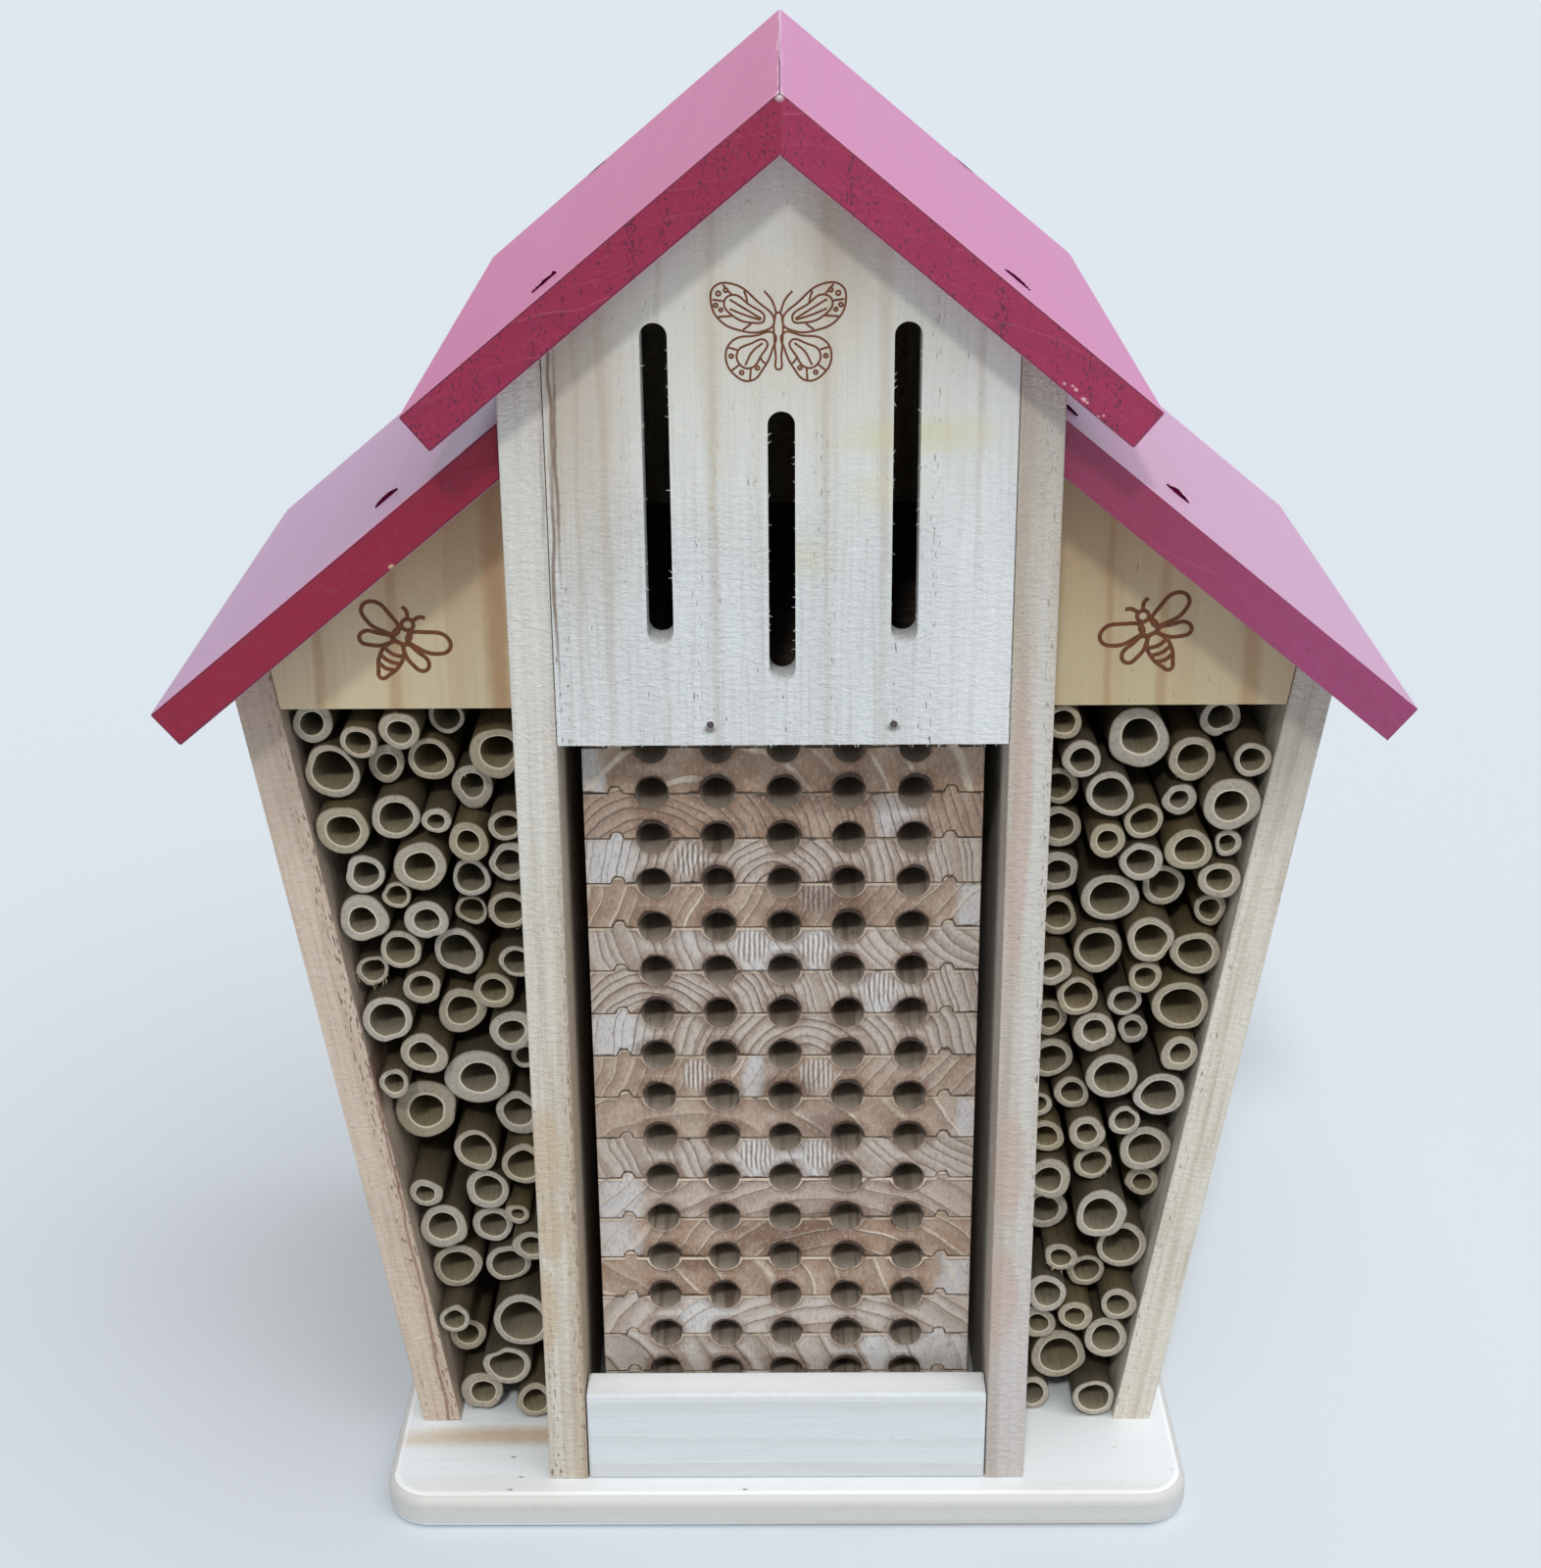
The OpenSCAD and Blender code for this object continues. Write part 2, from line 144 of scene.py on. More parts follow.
# %% Find the grain direction and the rings
def along_grain(tree, turn, heart):
    """Place in the wood in millimetres, turned so that Z runs along the fibres."""
    place = add(tree, "TexCoord", output="Object")
    return add(tree, "Mapping", inputs={
        "Vector": place, "Location": heart, "Rotation": turn, "Scale": TO_MILLIMETRES})


def stretched(tree, grain, length):
    """The same place, drawn out along the fibres by a length."""
    return add(tree, "VectorMath", MULTIPLY, {0: grain, 1: (1, 1, 1 / length)})


def late_wood(tree, grain, ring, wander, share):
    """0 in early wood, rising to a share at each ring's late wood, for rings of a width in mm."""
    slow = add(tree, "TexNoise", inputs={
        "Vector": stretched(tree, grain, 9), "Scale": 0.03, "Detail": 2.0}, output="Color")
    bend = add(tree, "VectorMath", MULTIPLY_ADD, {
        0: slow, 1: (wander, wander, 0), 2: grain})
    flat = add(tree, "VectorMath", MULTIPLY, {0: bend, 1: (1, 1, 0)})
    radius = add(tree, "VectorMath", {"operation": "LENGTH"}, {0: flat}, "Value")
    years = add(tree, "Math", {"operation": "DIVIDE"}, {0: radius, 1: ring})
    uneven = add(tree, "TexNoise", {"noise_dimensions": "1D"}, {"W": years, "Scale": 0.6})
    years = add(tree, "Math", {"operation": "ADD"}, {0: years, 1: uneven})
    season = add(tree, "Math", {"operation": "FRACT"}, {0: years})
    year = add(tree, "Math", {"operation": "FLOOR"}, {0: years})
    vigour = add(tree, "TexWhiteNoise", {"noise_dimensions": "1D"}, {"W": year})
    vigour = add(tree, "MapRange", inputs={"Value": vigour, "To Min": 0.35 * share, "To Max": share})
    rise = add(tree, "MapRange", {"interpolation_type": "SMOOTHERSTEP"}, {
        "Value": season, "From Min": 0.45, "From Max": 0.9})
    drop = add(tree, "MapRange", SMOOTH, {
        "Value": season, "From Min": 0.94, "From Max": 1.0, "To Min": 1.0, "To Max": 0.0})
    band = add(tree, "Math", MULTIPLY, {0: rise, 1: drop})
    return add(tree, "Math", MULTIPLY, {0: band, 1: vigour})


print("the widest rings are 14 mm, which is fast plantation growth")

# %% [markdown]
# ## What a saw and a plane leave behind
# Three finer things tell the eye that a surface is wood. Fibres draw faint streaks along the
# board. Resin canals show as short dark dashes, crowded in some rows and missing in others. Where
# a saw cut the face, the fibres stand up in a fuzz of small waves that run across the grain.

# %% Fibres, dashes and fuzz
def fibre_streaks(tree, grain):
    """Streaks one fibre bundle wide. Real ones are 0.1 mm, drawn here at 0.8 mm to show."""
    return add(tree, "TexNoise", inputs={
        "Vector": stretched(tree, grain, 30), "Scale": 0.9, "Detail": 5.0, "Roughness": 0.65})


def resin_dashes(tree, grain, amount, length, fine):
    """0.8 in dark dashes along the fibres, in rows. An amount says how many, a length how long."""
    spots = add(tree, "TexNoise", inputs={
        "Vector": stretched(tree, grain, length), "Scale": fine, "Detail": 1.0})
    rows = add(tree, "TexNoise", inputs={
        "Vector": stretched(tree, grain, 90), "Scale": 0.25, "Detail": 1.0})
    crowd = add(tree, "Math", MULTIPLY_ADD, {0: rows, 1: 0.6, 2: spots})
    edge = 1.13 - 0.14 * amount
    return add(tree, "MapRange", SMOOTH, {
        "Value": crowd, "From Min": edge, "From Max": edge + 0.05, "To Max": 0.8})


def raised_fuzz(tree, grain, top):
    """Waves of torn fibre 1 to 2 mm apart, strong below a height in mm and faint above it."""
    waves = add(tree, "TexNoise", inputs={
        "Vector": stretched(tree, grain, 0.5), "Scale": 0.4, "Detail": 4.0, "Roughness": 0.7})
    slow = add(tree, "TexNoise", inputs={"Vector": stretched(tree, grain, 3), "Scale": 0.06})
    place = add(tree, "TexCoord", output="Object")
    height = add(tree, "SeparateXYZ", inputs={0: place}, output="Z")
    height = add(tree, "Math", MULTIPLY_ADD, {0: slow, 1: 60 * MM, 2: height})
    furry = add(tree, "MapRange", SMOOTH, {
        "Value": height, "From Min": (top + 45) * MM, "From Max": (top + 15) * MM, "To Min": 0.25})
    return add(tree, "Math", MULTIPLY, {0: waves, 1: furry})


print("dashes are about", round(5 / 1.8 / 2, 1), "mm long")

# %% [markdown]
# ## Stains and worn places
# A resin stain, a warm patch, a knife nick or a rubbed arris is one soft spot with a ragged rim,
# at a place measured on the board. A very long spot makes a single streak.

# %% Soft spots and streaks
# How far a spot wanders sideways, and the middle and half length of a mark right through a board
DRIFT = 3
THROUGH, ALL_THROUGH = -60, 90


def soft_spot(tree, centre, size, share, blur=0.6, turn=0.0):
    """A share inside a ragged spot at a centre and half size in mm, 0 outside it."""
    place = add(tree, "TexCoord", output="Object")
    millimetres = add(tree, "VectorMath", MULTIPLY_ADD, {
        0: place, 1: TO_MILLIMETRES, 2: centre})
    drift = add(tree, "TexNoise", inputs={
        "Vector": millimetres, "Scale": 0.05, "Detail": 3.0}, output="Color")
    wavy = add(tree, "VectorMath", MULTIPLY_ADD, {0: drift, 1: (DRIFT * MM, 0, 0), 2: place})
    near = add(tree, "Mapping", {"vector_type": "TEXTURE"}, {
        "Vector": wavy, "Location": (Vector(centre) + Vector((DRIFT / 2, 0, 0))) * MM,
        "Rotation": (0, turn, 0), "Scale": Vector(size) * MM})
    distance = add(tree, "VectorMath", {"operation": "LENGTH"}, {0: near}, "Value")
    ragged = add(tree, "TexNoise", inputs={
        "Vector": millimetres, "Scale": 0.4, "Detail": 4.0, "Roughness": 0.65})
    reach = add(tree, "Math", MULTIPLY_ADD, {0: ragged, 1: blur, 2: distance})
    return add(tree, "MapRange", SMOOTH, {
        "Value": reach, "From Min": 1.0 - 0.5 * blur, "From Max": 1.0 + 1.5 * blur,
        "To Min": share, "To Max": 0.0})


def streak(x, half_width, share=0.6, lean=0.0, base=0.0):
    """The centre, size, share, blur and turn of a streak that runs up a board."""
    return (x, THROUGH, base), (half_width, ALL_THROUGH, 420), share, 0.5, lean


print("a streak is a spot 840 mm tall, so its ends are off the board")

# %% Find the faces that look one way
def facing(tree, axis, low, high, share):
    """A share on the faces whose normal has a part between two values along an axis."""
    normal = add(tree, "NewGeometry", output="True Normal")
    part = add(tree, "VectorMath", {"operation": "DOT_PRODUCT"}, {0: normal, 1: axis}, "Value")
    inside = add(tree, "Math", {"operation": "COMPARE"}, {
        0: part, 1: (low + high) / 2, 2: (high - low) / 2})
    return add(tree, "Math", MULTIPLY, {0: inside, 1: share})


print("an eased edge has two faces, at 22 and 67 degrees")

# %% [markdown]
# ## The pine finish
# The layers go on in the order in which they came to the real board: body colour, rings,
# fibres, fuzz, dashes, then stains. Bare softwood scatters light widely, so its roughness stays
# near 0.6, a little smoother on the hard late wood. The bump lifts the rings and the fuzz by
# tenths of a millimetre, which is what a finger feels on pine.

# %% Build a pine finish
# How far fibres and tufts lift the surface, where the rings lift it by 1
FIBRE_LIFT, TUFT_LIFT = 0.35, 3.0


def pine(name, turn, heart, ring=6.0, wander=14.0, body="#CFCDC6", late="#AE9C84", late_share=0.8,
         fibre="#A9A093", fibre_share=0.35, dash="#6B5A48", dashes=0.5, dash_turn=None,
         dash_shape=(5.0, 1.8), side_dashes=1.0, fuzz=0.3, fuzz_top=1000.0, relief=0.5,
         front_relief=0.0, rough=0.6, sheen=0.0, sheen_tint="#E39BD8", ior=1.5, spots=(), faces=()):
    """A finish for one pine board, in mm. Spots are (hex, spot) pairs, faces (hex, facing) pairs."""
    # The front relief is what a sawn front has on top of the relief of the other faces
    finish, tree, shader = new_finish(name)
    shader.inputs["IOR"].default_value = ior
    shader.inputs["Sheen Weight"].default_value = sheen
    shader.inputs["Sheen Tint"].default_value = linear(sheen_tint)
    grain = along_grain(tree, turn, heart)
    rings = late_wood(tree, grain, ring, wander, late_share)
    fibres = fibre_streaks(tree, grain)
    tufts = raised_fuzz(tree, grain, fuzz_top)
    dark_fibres = add(tree, "MapRange", SMOOTH, {
        "Value": fibres, "From Min": 0.42, "From Max": 0.72, "To Max": fibre_share})
    pale_tufts = add(tree, "MapRange", SMOOTH, {
        "Value": tufts, "From Min": 0.5, "From Max": 0.75, "To Max": 0.4 * fuzz})
    canals = resin_dashes(tree, along_grain(tree, dash_turn or turn, heart), dashes, *dash_shape)
    on_front = facing(tree, FORWARD, 0.5, 1.5, 1.0 - side_dashes)
    kept = add(tree, "Math", {"operation": "ADD"}, {0: on_front, 1: side_dashes})
    canals = add(tree, "Math", MULTIPLY, {0: canals, 1: kept})
    coats = [(rings, late), (dark_fibres, fibre), (pale_tufts, "#F6F6F2"), (canals, dash)]
    coats += [(soft_spot(tree, *spot), shade) for shade, spot in spots]
    coats += [(facing(tree, *face), shade) for shade, face in faces]
    tree.links.new(painted(tree, body, coats), shader.inputs["Base Color"])
    tree.links.new(add(tree, "MapRange", inputs={
        "Value": rings, "To Min": rough, "To Max": rough - 0.1}), shader.inputs["Roughness"])
    height = add(tree, "Math", MULTIPLY_ADD, {0: fibres, 1: FIBRE_LIFT, 2: rings})
    height = add(tree, "Math", MULTIPLY_ADD, {0: tufts, 1: TUFT_LIFT * fuzz, 2: height})
    depth = relief * MM
    if front_relief:
        sawn = facing(tree, FORWARD, 0.5, 1.5, front_relief * MM)
        depth = add(tree, "Math", {"operation": "ADD"}, {0: sawn, 1: depth})
    tree.links.new(add(tree, "Bump", inputs={
        "Strength": 0.8, "Distance": depth, "Height": height}), shader.inputs["Normal"])
    return finish


UPRIGHT_GRAIN = (0, 0, 0)
CROSS_GRAIN = (0, math.radians(-90), 0)
DEPTH_GRAIN = (math.radians(90), 0, 0)
FLARE = math.radians(8.8)
print("grain can run up, across or front to back")

# %% [markdown]
# ## Easing the edges
# A saw-cut corner is never perfectly sharp: sanding takes off a third of a millimetre, and that
# small facet is what catches the light along a board. The model's boards have true corners, so
# each one is copied, its triangles are merged back to whole faces, and its sharp edges are
# bevelled. The copy then stands in for the model's board and rides on the same body.

# %% Copy and ease a board
def merged_copy(node):
    """A bmesh of a model piece with its doubles merged and its flat faces made whole."""
    bm = bmesh.new()
    bm.from_mesh(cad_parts[node].data)
    bmesh.ops.remove_doubles(bm, verts=bm.verts[:], dist=0.002 * MM)
    bmesh.ops.dissolve_limit(bm, angle_limit=math.radians(1), verts=bm.verts[:], edges=bm.edges[:],
                             use_dissolve_boundaries=False)
    return bm


def ease(bm, width, joint=0.0):
    """Bevels the edges that turn more than 40 degrees, but none within a joint at X = 0."""
    sharp = [e for e in bm.edges if len(e.link_faces) == 2 and e.calc_face_angle(0) > math.radians(40)
             and max(abs(v.co.x) for v in e.verts) >= joint]
    made = bmesh.ops.bevel(bm, geom=sharp, offset=width, offset_type="OFFSET", affect="EDGES",
                           segments=2, profile=0.5, material=-1, clamp_overlap=True)
    return made["faces"]


print("edges are eased by 0.3 to 0.9 mm")

# %% [markdown]
# Every shown piece is finished the same way: its normals point outwards, its wide faces stay
# flat, the small faces of rims and eased edges are shaded smooth, it is hung on the body it rides
# on, and the model pieces it stands for are hidden. Without the flat faces, the light of an eased
# edge would spread over the whole board.

# %% Finish a piece
WIDE_FACE = 300 * MM * MM


def finished_piece(bm, name, body, finishes, stands_for=()):
    """Makes a shown piece of a bmesh: its mesh, its materials, its body and what it replaces."""
    bmesh.ops.recalc_face_normals(bm, faces=bm.faces[:])
    mesh = bpy.data.meshes.new(name)
    bm.to_mesh(mesh)
    bm.free()
    if "custom_normal" in mesh.attributes:
        mesh.attributes.remove(mesh.attributes["custom_normal"])
    mesh.shade_smooth()
    mesh.set_sharp_from_angle(angle=math.radians(25))
    for polygon in mesh.polygons:
        polygon.use_smooth = polygon.area < WIDE_FACE
    for finish in finishes:
        mesh.materials.append(finish)
    piece = bpy.data.objects.new(name, mesh)
    bpy.context.scene.collection.objects.link(piece)
    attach(piece, body)
    if stands_for:
        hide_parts(*stands_for)
    return piece


def eased_board(node, finish, width, joint=0.0):
    """Dresses one board of the model with edges eased by a width in mm, and a finish."""
    bm = merged_copy(node)
    before = len(bm.faces)
    ease(bm, width * MM, joint * MM)
    piece = finished_piece(bm, node + "_eased", "house", [finish], [node])
    print(node, "faces", before, "->", len(piece.data.polygons))


# %% [markdown]
# ## The middle of the front
# The front panel is whitish, with tan streaks 12 to 15 mm apart that run straight up, a sign
# that it was cut facing the heart of a wide trunk. Its lower two thirds were sawn rather than
# planed and feel furry, and faint yellow resin stains sit beside the right slot. The sill below
# is the palest board, its grain running across.

# %% Dress the front panel and the sill
PANEL_STREAKS = [
    (-45, 0.7), (-39, 1.2), (-26.2, 0.7), (-15, 1.0), (9.8, 0.8), (22.6, 1.5), (43.4, 0.9)]
panel_spots = [
    ("#A6907A", ((x, THROUGH, 335), (half, ALL_THROUGH, 66), 0.45, 0.5)) for x, half in PANEL_STREAKS]
panel_spots += [("#B0A08E", streak(x, half, 0.22)) for x, half in PANEL_STREAKS]
panel_spots += [("#B7A68F", ((x, THROUGH, z), (2.2, ALL_THROUGH, 28), 0.5, 0.8))
                for x, z in ((-49, 300), (-15, 305), (10, 318))]
panel_spots += [("#CFCABA", ((0, HOUSE_FRONT, 322), (60, 6, 42), 0.7, 0.9)),
                ("#B3A28C", ((-44, HOUSE_FRONT, 296), (9, 4, 44), 0.6, 0.9)),
                # The warm brown patch high on the right is painted warm shade under the roof
                ("#A8947C", ((14, HOUSE_FRONT, 336), (8, 4, 16), 0.45, 0.9))]
panel_spots += [("#7A6452", ((x, HOUSE_FRONT, z), (0.4, 3, 24), 0.85))
                for x, z in ((-50.3, 300), (-49.4, 284), (-50.8, 258))]
panel_spots += [("#C7B59F", ((-0.5, HOUSE_FRONT, 313), (15, 3, 12), 0.3, 0.9)),
                ("#EFF2F2", ((47, HOUSE_FRONT, 240), (10, 4, 46), 0.5, 0.9))]
panel_spots += [("#D2CD9A", ((x, HOUSE_FRONT, z), (9, 6, 3.5), 0.45, 0.9))
                for x, z in ((24, 289), (37, 290))]
panel_spots += [("#D5D1A6", ((x, HOUSE_FRONT, z), (7, 6, 4), 0.35, 0.9))
                for x, z in ((23, 277), (4, 262))]
panel_spots += [("#574B40", ((x, HOUSE_FRONT, z), (1.3, 3, 0.9), 0.8))
                for x, z in ((-16.5, 220.9), (25.6, 221.2))]
panel_pine = pine(
    "planed_pine_front_panel", UPRIGHT_GRAIN, (352, 40, 0), ring=14.0, wander=9.0, body="#DFE3E3",
    late="#A99A88", late_share=0.15, fibre="#B5AFA4", fibre_share=0.4, dash="#5E564E", dashes=0.95,
    fuzz=1.0, fuzz_top=275.0, spots=panel_spots)
sill_pine = pine(
    "planed_pine_sill", CROSS_GRAIN, (-20, 60, 0), ring=9.0, body="#D7DDE0", late="#C4C0B8",
    late_share=0.4, fibre="#BFC2C4", fibre_share=0.25, dashes=0.0, fuzz=0.1, rough=0.5,
    # The pale band along the top of the sill is painted light
    spots=[("#F4F7FA", ((0, -75, 37), (70, 5.5, 1.4), 0.9))])
eased_board("front_panel", panel_pine, 0.3)
eased_board("front_sill", sill_pine, 0.9)

# %% [markdown]
# ## Uprights and outer boards
# These boards show their long edges to the front. They were sawn, not planed, so fine waves of
# torn fibre run across them, with patches where a layer has lifted and left warmer wood. The
# outer boards lean out by 8.8 degrees, and their grain leans with them, so the grain direction
# is turned by the same angle.

# %% Dress the uprights
# Place and half size of each patch where a layer has lifted, in mm
LIFTED_LEFT = [((-59.5, HOUSE_FRONT, 108), (4.5, 3, 13)), ((-58.5, HOUSE_FRONT, 86), (3.2, 3, 9)),
               ((-60.5, HOUSE_FRONT, 62), (2.4, 3, 12))]
LIFTED_RIGHT = [((55.5, HOUSE_FRONT, 104), (4.0, 3, 15)), ((54.5, HOUSE_FRONT, 66), (4.2, 3, 14)),
                ((55, HOUSE_FRONT, 196), (2.4, 3, 40))]
left_spots = [("#A98F76", streak(-52.3, 0.9, 0.6)), ("#BDA78D", streak(-54.2, 1.1, 0.5)),
              ("#6E5848", ((-52.7, HOUSE_FRONT, 276), (0.35, 3, 12), 0.8)),
              ("#E2E4E1", ((-58, HOUSE_FRONT, 262), (9, 6, 80), 0.6, 0.9))]
left_spots += [("#C7AC8B", (centre, size, 0.55, 0.25)) for centre, size in LIFTED_LEFT]
right_spots = [("#D2CDCE", ((57, HOUSE_FRONT, 30), (9, 6, 42), 0.6, 0.9)),
               ("#B3A293", streak(53.6, 1.5, 0.5)),
               ("#B5A68E", ((57, HOUSE_FRONT, 262), (9, 6, 30), 0.35, 0.9)),
               ("#DFDEDA", ((58.5, HOUSE_FRONT, 190), (2.2, 6, 90), 0.5, 0.9))]
right_spots += [("#C6A898", (centre, size, 0.45, 0.25)) for centre, size in LIFTED_RIGHT]
UPRIGHTS = dict(ring=5.5, wander=5.0, late="#B9A085", late_share=0.3, dash="#5F4D3C",
                side_dashes=0.3, fuzz=1.0)
upright_left_pine = pine(
    "sawn_pine_upright_left", UPRIGHT_GRAIN, (-30, 75, 0), body="#D9D2C3", fibre="#A08C73",
    fibre_share=0.45, dashes=0.95, spots=left_spots, **UPRIGHTS)
upright_right_pine = pine(
    "sawn_pine_upright_right", UPRIGHT_GRAIN, (30, 75, 0), body="#CEC7BD", fibre="#A9967D",
    fibre_share=0.35, dashes=0.9, spots=right_spots, **UPRIGHTS)
eased_board("upright_left", upright_left_pine, 0.35)
eased_board("upright_right", upright_right_pine, 0.35)

# %% Dress the outer boards
OUTER_BOARDS = dict(ring=7.0, wander=8.0, late="#B79C86", late_share=0.4, fibre_share=0.5,
                    dash="#6A5548", dashes=0.95, side_dashes=0.3, fuzz=0.6)
# The grey-brown patch at the top of each outer board is a painted shadow of the side roof above it
outer_left_pine = pine(
    "sawn_pine_outer_left", (0, FLARE, 0), (40, 90, 0), body="#D2C0AE", fibre="#A78E7E",
    spots=[("#86604F", streak(-100.2, 0.4, 0.7, math.radians(-7.2), 80)),
           ("#9A8A7A", ((-118, -55, 208), (16, 8, 22), 0.45, 0.9))], **OUTER_BOARDS)
outer_right_pine = pine(
    "sawn_pine_outer_right", (0, -FLARE, 0), (-40, 90, 0), body="#DCD7C9", fibre="#A8957F",
    spots=[("#928A7C", ((118, -55, 208), (16, 8, 22), 0.45, 0.9))], **OUTER_BOARDS)
eased_board("outer_board_left", outer_left_pine, 0.35)
eased_board("outer_board_right", outer_right_pine, 0.35)

# %% [markdown]
# ## Side panels and backs
# The side panels are the smoothest and yellowest boards, with a few soft tan streaks. The boards
# at the back are plain pine. They are only seen when the house is turned round, but they are
# dressed as carefully, since the house may stand where all sides show.

# %% Dress the side panels
SIDE_PANELS = dict(ring=15.0, wander=14.0, late="#AD8F68", late_share=0.25, fibre="#B7A27F",
                   fibre_share=0.3, dash="#8B6D4C", fuzz=0.1, rough=0.55)
# The warm brown patch high on each side panel, under the side roof, is painted warm shade
side_left_pine = pine(
    "planed_pine_side_panel_left", UPRIGHT_GRAIN, (-160, 60, 0), body="#CDBE9C", dashes=0.2,
    spots=[("#AC8A60", streak(-110.3, 1.4)), ("#AC8A60", streak(-92.0, 1.6)),
           ("#A98258", streak(-67.5, 3.0, 0.75)),
           ("#B5875F", ((-76, WING_FRONT, 264), (24, 4, 20), 0.5, 0.9))], **SIDE_PANELS)
side_right_pine = pine(
    "planed_pine_side_panel_right", UPRIGHT_GRAIN, (160, 60, 0), body="#C6B691", dashes=0.25,
    spots=[("#AC8A60", streak(77, 1.0)), ("#AC8A60", streak(90, 1.5)),
           ("#A98258", streak(111, 2.4)),
           ("#B5875F", ((74, WING_FRONT, 264), (22, 4, 18), 0.35, 0.9))], **SIDE_PANELS)
eased_board("side_panel_left", side_left_pine, 0.3)
eased_board("side_panel_right", side_right_pine, 0.3)

# %% Dress the boards at the back and inside
for side, sign in (("left", -1), ("right", 1)):
    back_pine = pine(
        "planed_pine_side_back_" + side, UPRIGHT_GRAIN, (sign * 50, 120, 0), ring=8.0,
        body="#CFC3AA", late="#B4976F", dashes=0.5, fuzz=0.3)
    eased_board("side_back_" + side, back_pine, 0.3)
    eased_board("cane_shelf_" + side, back_pine, 0.3)
back_panel_pine = pine(
    "planed_pine_back_panel", UPRIGHT_GRAIN, (20, -130, 0), ring=9.0, wander=18.0, body="#D0C5AE",
    late="#B4976F", dashes=0.5, fuzz=0.3)
eased_board("back_panel", back_panel_pine, 0.3)
# The chamber floor is painted nearly black, as painted shade inside the chamber behind the slots
chamber_floor_painted_dark = pine("pine_chamber_floor_in_painted_shade", CROSS_GRAIN, (0, 80, 0), body="#3A332C", late="#2E2722")
eased_board("chamber_floor", chamber_floor_painted_dark, 0.3)

# %% [markdown]
# ## The base
# The base has a round edge worked with a router all along it, which the model already has, so
# its shape stays. Its pine is nearly white with grain running across, one warm streak beside
# the left wing, and a few dark resin specks.

# %% Dress the base
BASE_TOP = 10
BASE_SPECKS = [(-72.8, -71.1), (-69.7, -79.2), (-71.7, -84.3), (-10.5, -84.5)]
base_spots = [("#C3A174", ((-72, -62, BASE_TOP), (26, 3.6, 5), 0.7, 0.7)),
              ("#D0BE9E", ((-108, -64, BASE_TOP), (22, 2.6, 4), 0.5, 0.8)),
              ("#BFA284", ((50, -90, 1), (70, 4, 1.6), 0.5, 0.8))]
base_spots += [("#5B5248", ((x, y, BASE_TOP), (0.75, 0.28, 2), 0.8, 0.4)) for x, y in BASE_SPECKS]
# Faces that don't look up are painted greyer, which is painted shade, and the first facet of the round
# edge is near white, a painted highlight
BASE_EDGE_SHADE_AND_HIGHLIGHT = [("#C6C3BF", (SKYWARD, -0.3, 0.92, 0.8)), ("#FBFCFD", (SKYWARD, 0.92, 0.998, 0.5))]
base_pine = pine(
    "routed_pine_base", CROSS_GRAIN, (-70, 50, 0), ring=11.0, wander=12.0, body="#EAF0F3",
    late="#D9CFBE", late_share=0.35, fibre="#D6D8D6", fibre_share=0.2, dash="#75695D", dashes=0.1,
    fuzz=0.1, rough=0.5, spots=base_spots, faces=BASE_EDGE_SHADE_AND_HIGHLIGHT)
eased_board("base_board", base_pine, 0.3)

# %% [markdown]
# ## Stained roof boards
# The roofs are the same pine under a raspberry stain with a satin varnish. The stain soaks in,
# so the grain still shows, and the sawn fronts stay rough, with pores that show as dark dots of
# about a millimetre. Seen at the low angle of these slopes, the tops look lilac-pink beside the
# deep front edges. A tinted sheen makes them so, because it is weak on a face seen from straight
# on and strong on one seen from the side. A paler coat on the upper sides adds painted light, and
# the boards on the right carry more of it and a stronger, paler sheen, for brighter light there.
# The ridge has lost its stain along the joint, and a few chips show bare wood. The eased front
# edge shows two thin painted lines: a pale one, which is a painted highlight, and a dark one below it.
# Each staple was driven below the surface and left a slit, dark inside, with a paler rim.

# %% Find the slits over the staples
SLOPE = math.radians(39.3)


def out_of_roof(side):
    """The way straight out of the slopes on a side, which is -1 or 1."""
    return Vector((side * math.sin(SLOPE), 0, math.cos(SLOPE)))


def loose_parts(bm):
    """The separate solids in a bmesh, each as its list of vertices."""
    waiting = set(bm.verts)
    parts = []
    for first in bm.verts:
        if first not in waiting:
            continue
        waiting.discard(first)
        front = [first]
        part = []
        while front:
            vertex = front.pop()
            part.append(vertex)
            for edge in vertex.link_edges:
                other = edge.other_vert(vertex)
                if other in waiting:
                    waiting.discard(other)
                    front.append(other)
        parts.append(part)
    return parts


def staple_places():
    """(side, place on the roof over it in mm) of each staple in the model."""
    staples = merged_copy("roof_staples")
    places = []
    for wire in loose_parts(staples):
        side, name = (1, "right") if wire[0].co.x > 0 else (-1, "left")
        out = out_of_roof(side)
        top = max(v.co.dot(out) for v in wire)
        crown = [v.co for v in wire if v.co.dot(out) > top - 1.0 * MM]
        middle = sum(crown, Vector()) / len(crown)
        boards = [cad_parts[f"roof_{kind}_{name}"].data for kind in ("main", "side")]
        upper_sides = [max(v.co.dot(out) for v in board.vertices) for board in boards]
        surface = min(upper_sides, key=lambda height: abs(height - top))
        places.append((side, (middle + out * (surface - middle.dot(out))) / MM))
    staples.free()
    # Rounded, so that two staples in line keep their order in each run
    return sorted(places, key=lambda staple: [round(c, 2) for c in staple[1]])


STAPLES = staple_places()
print("staples:", [[round(c) for c in place] for side, place in STAPLES])

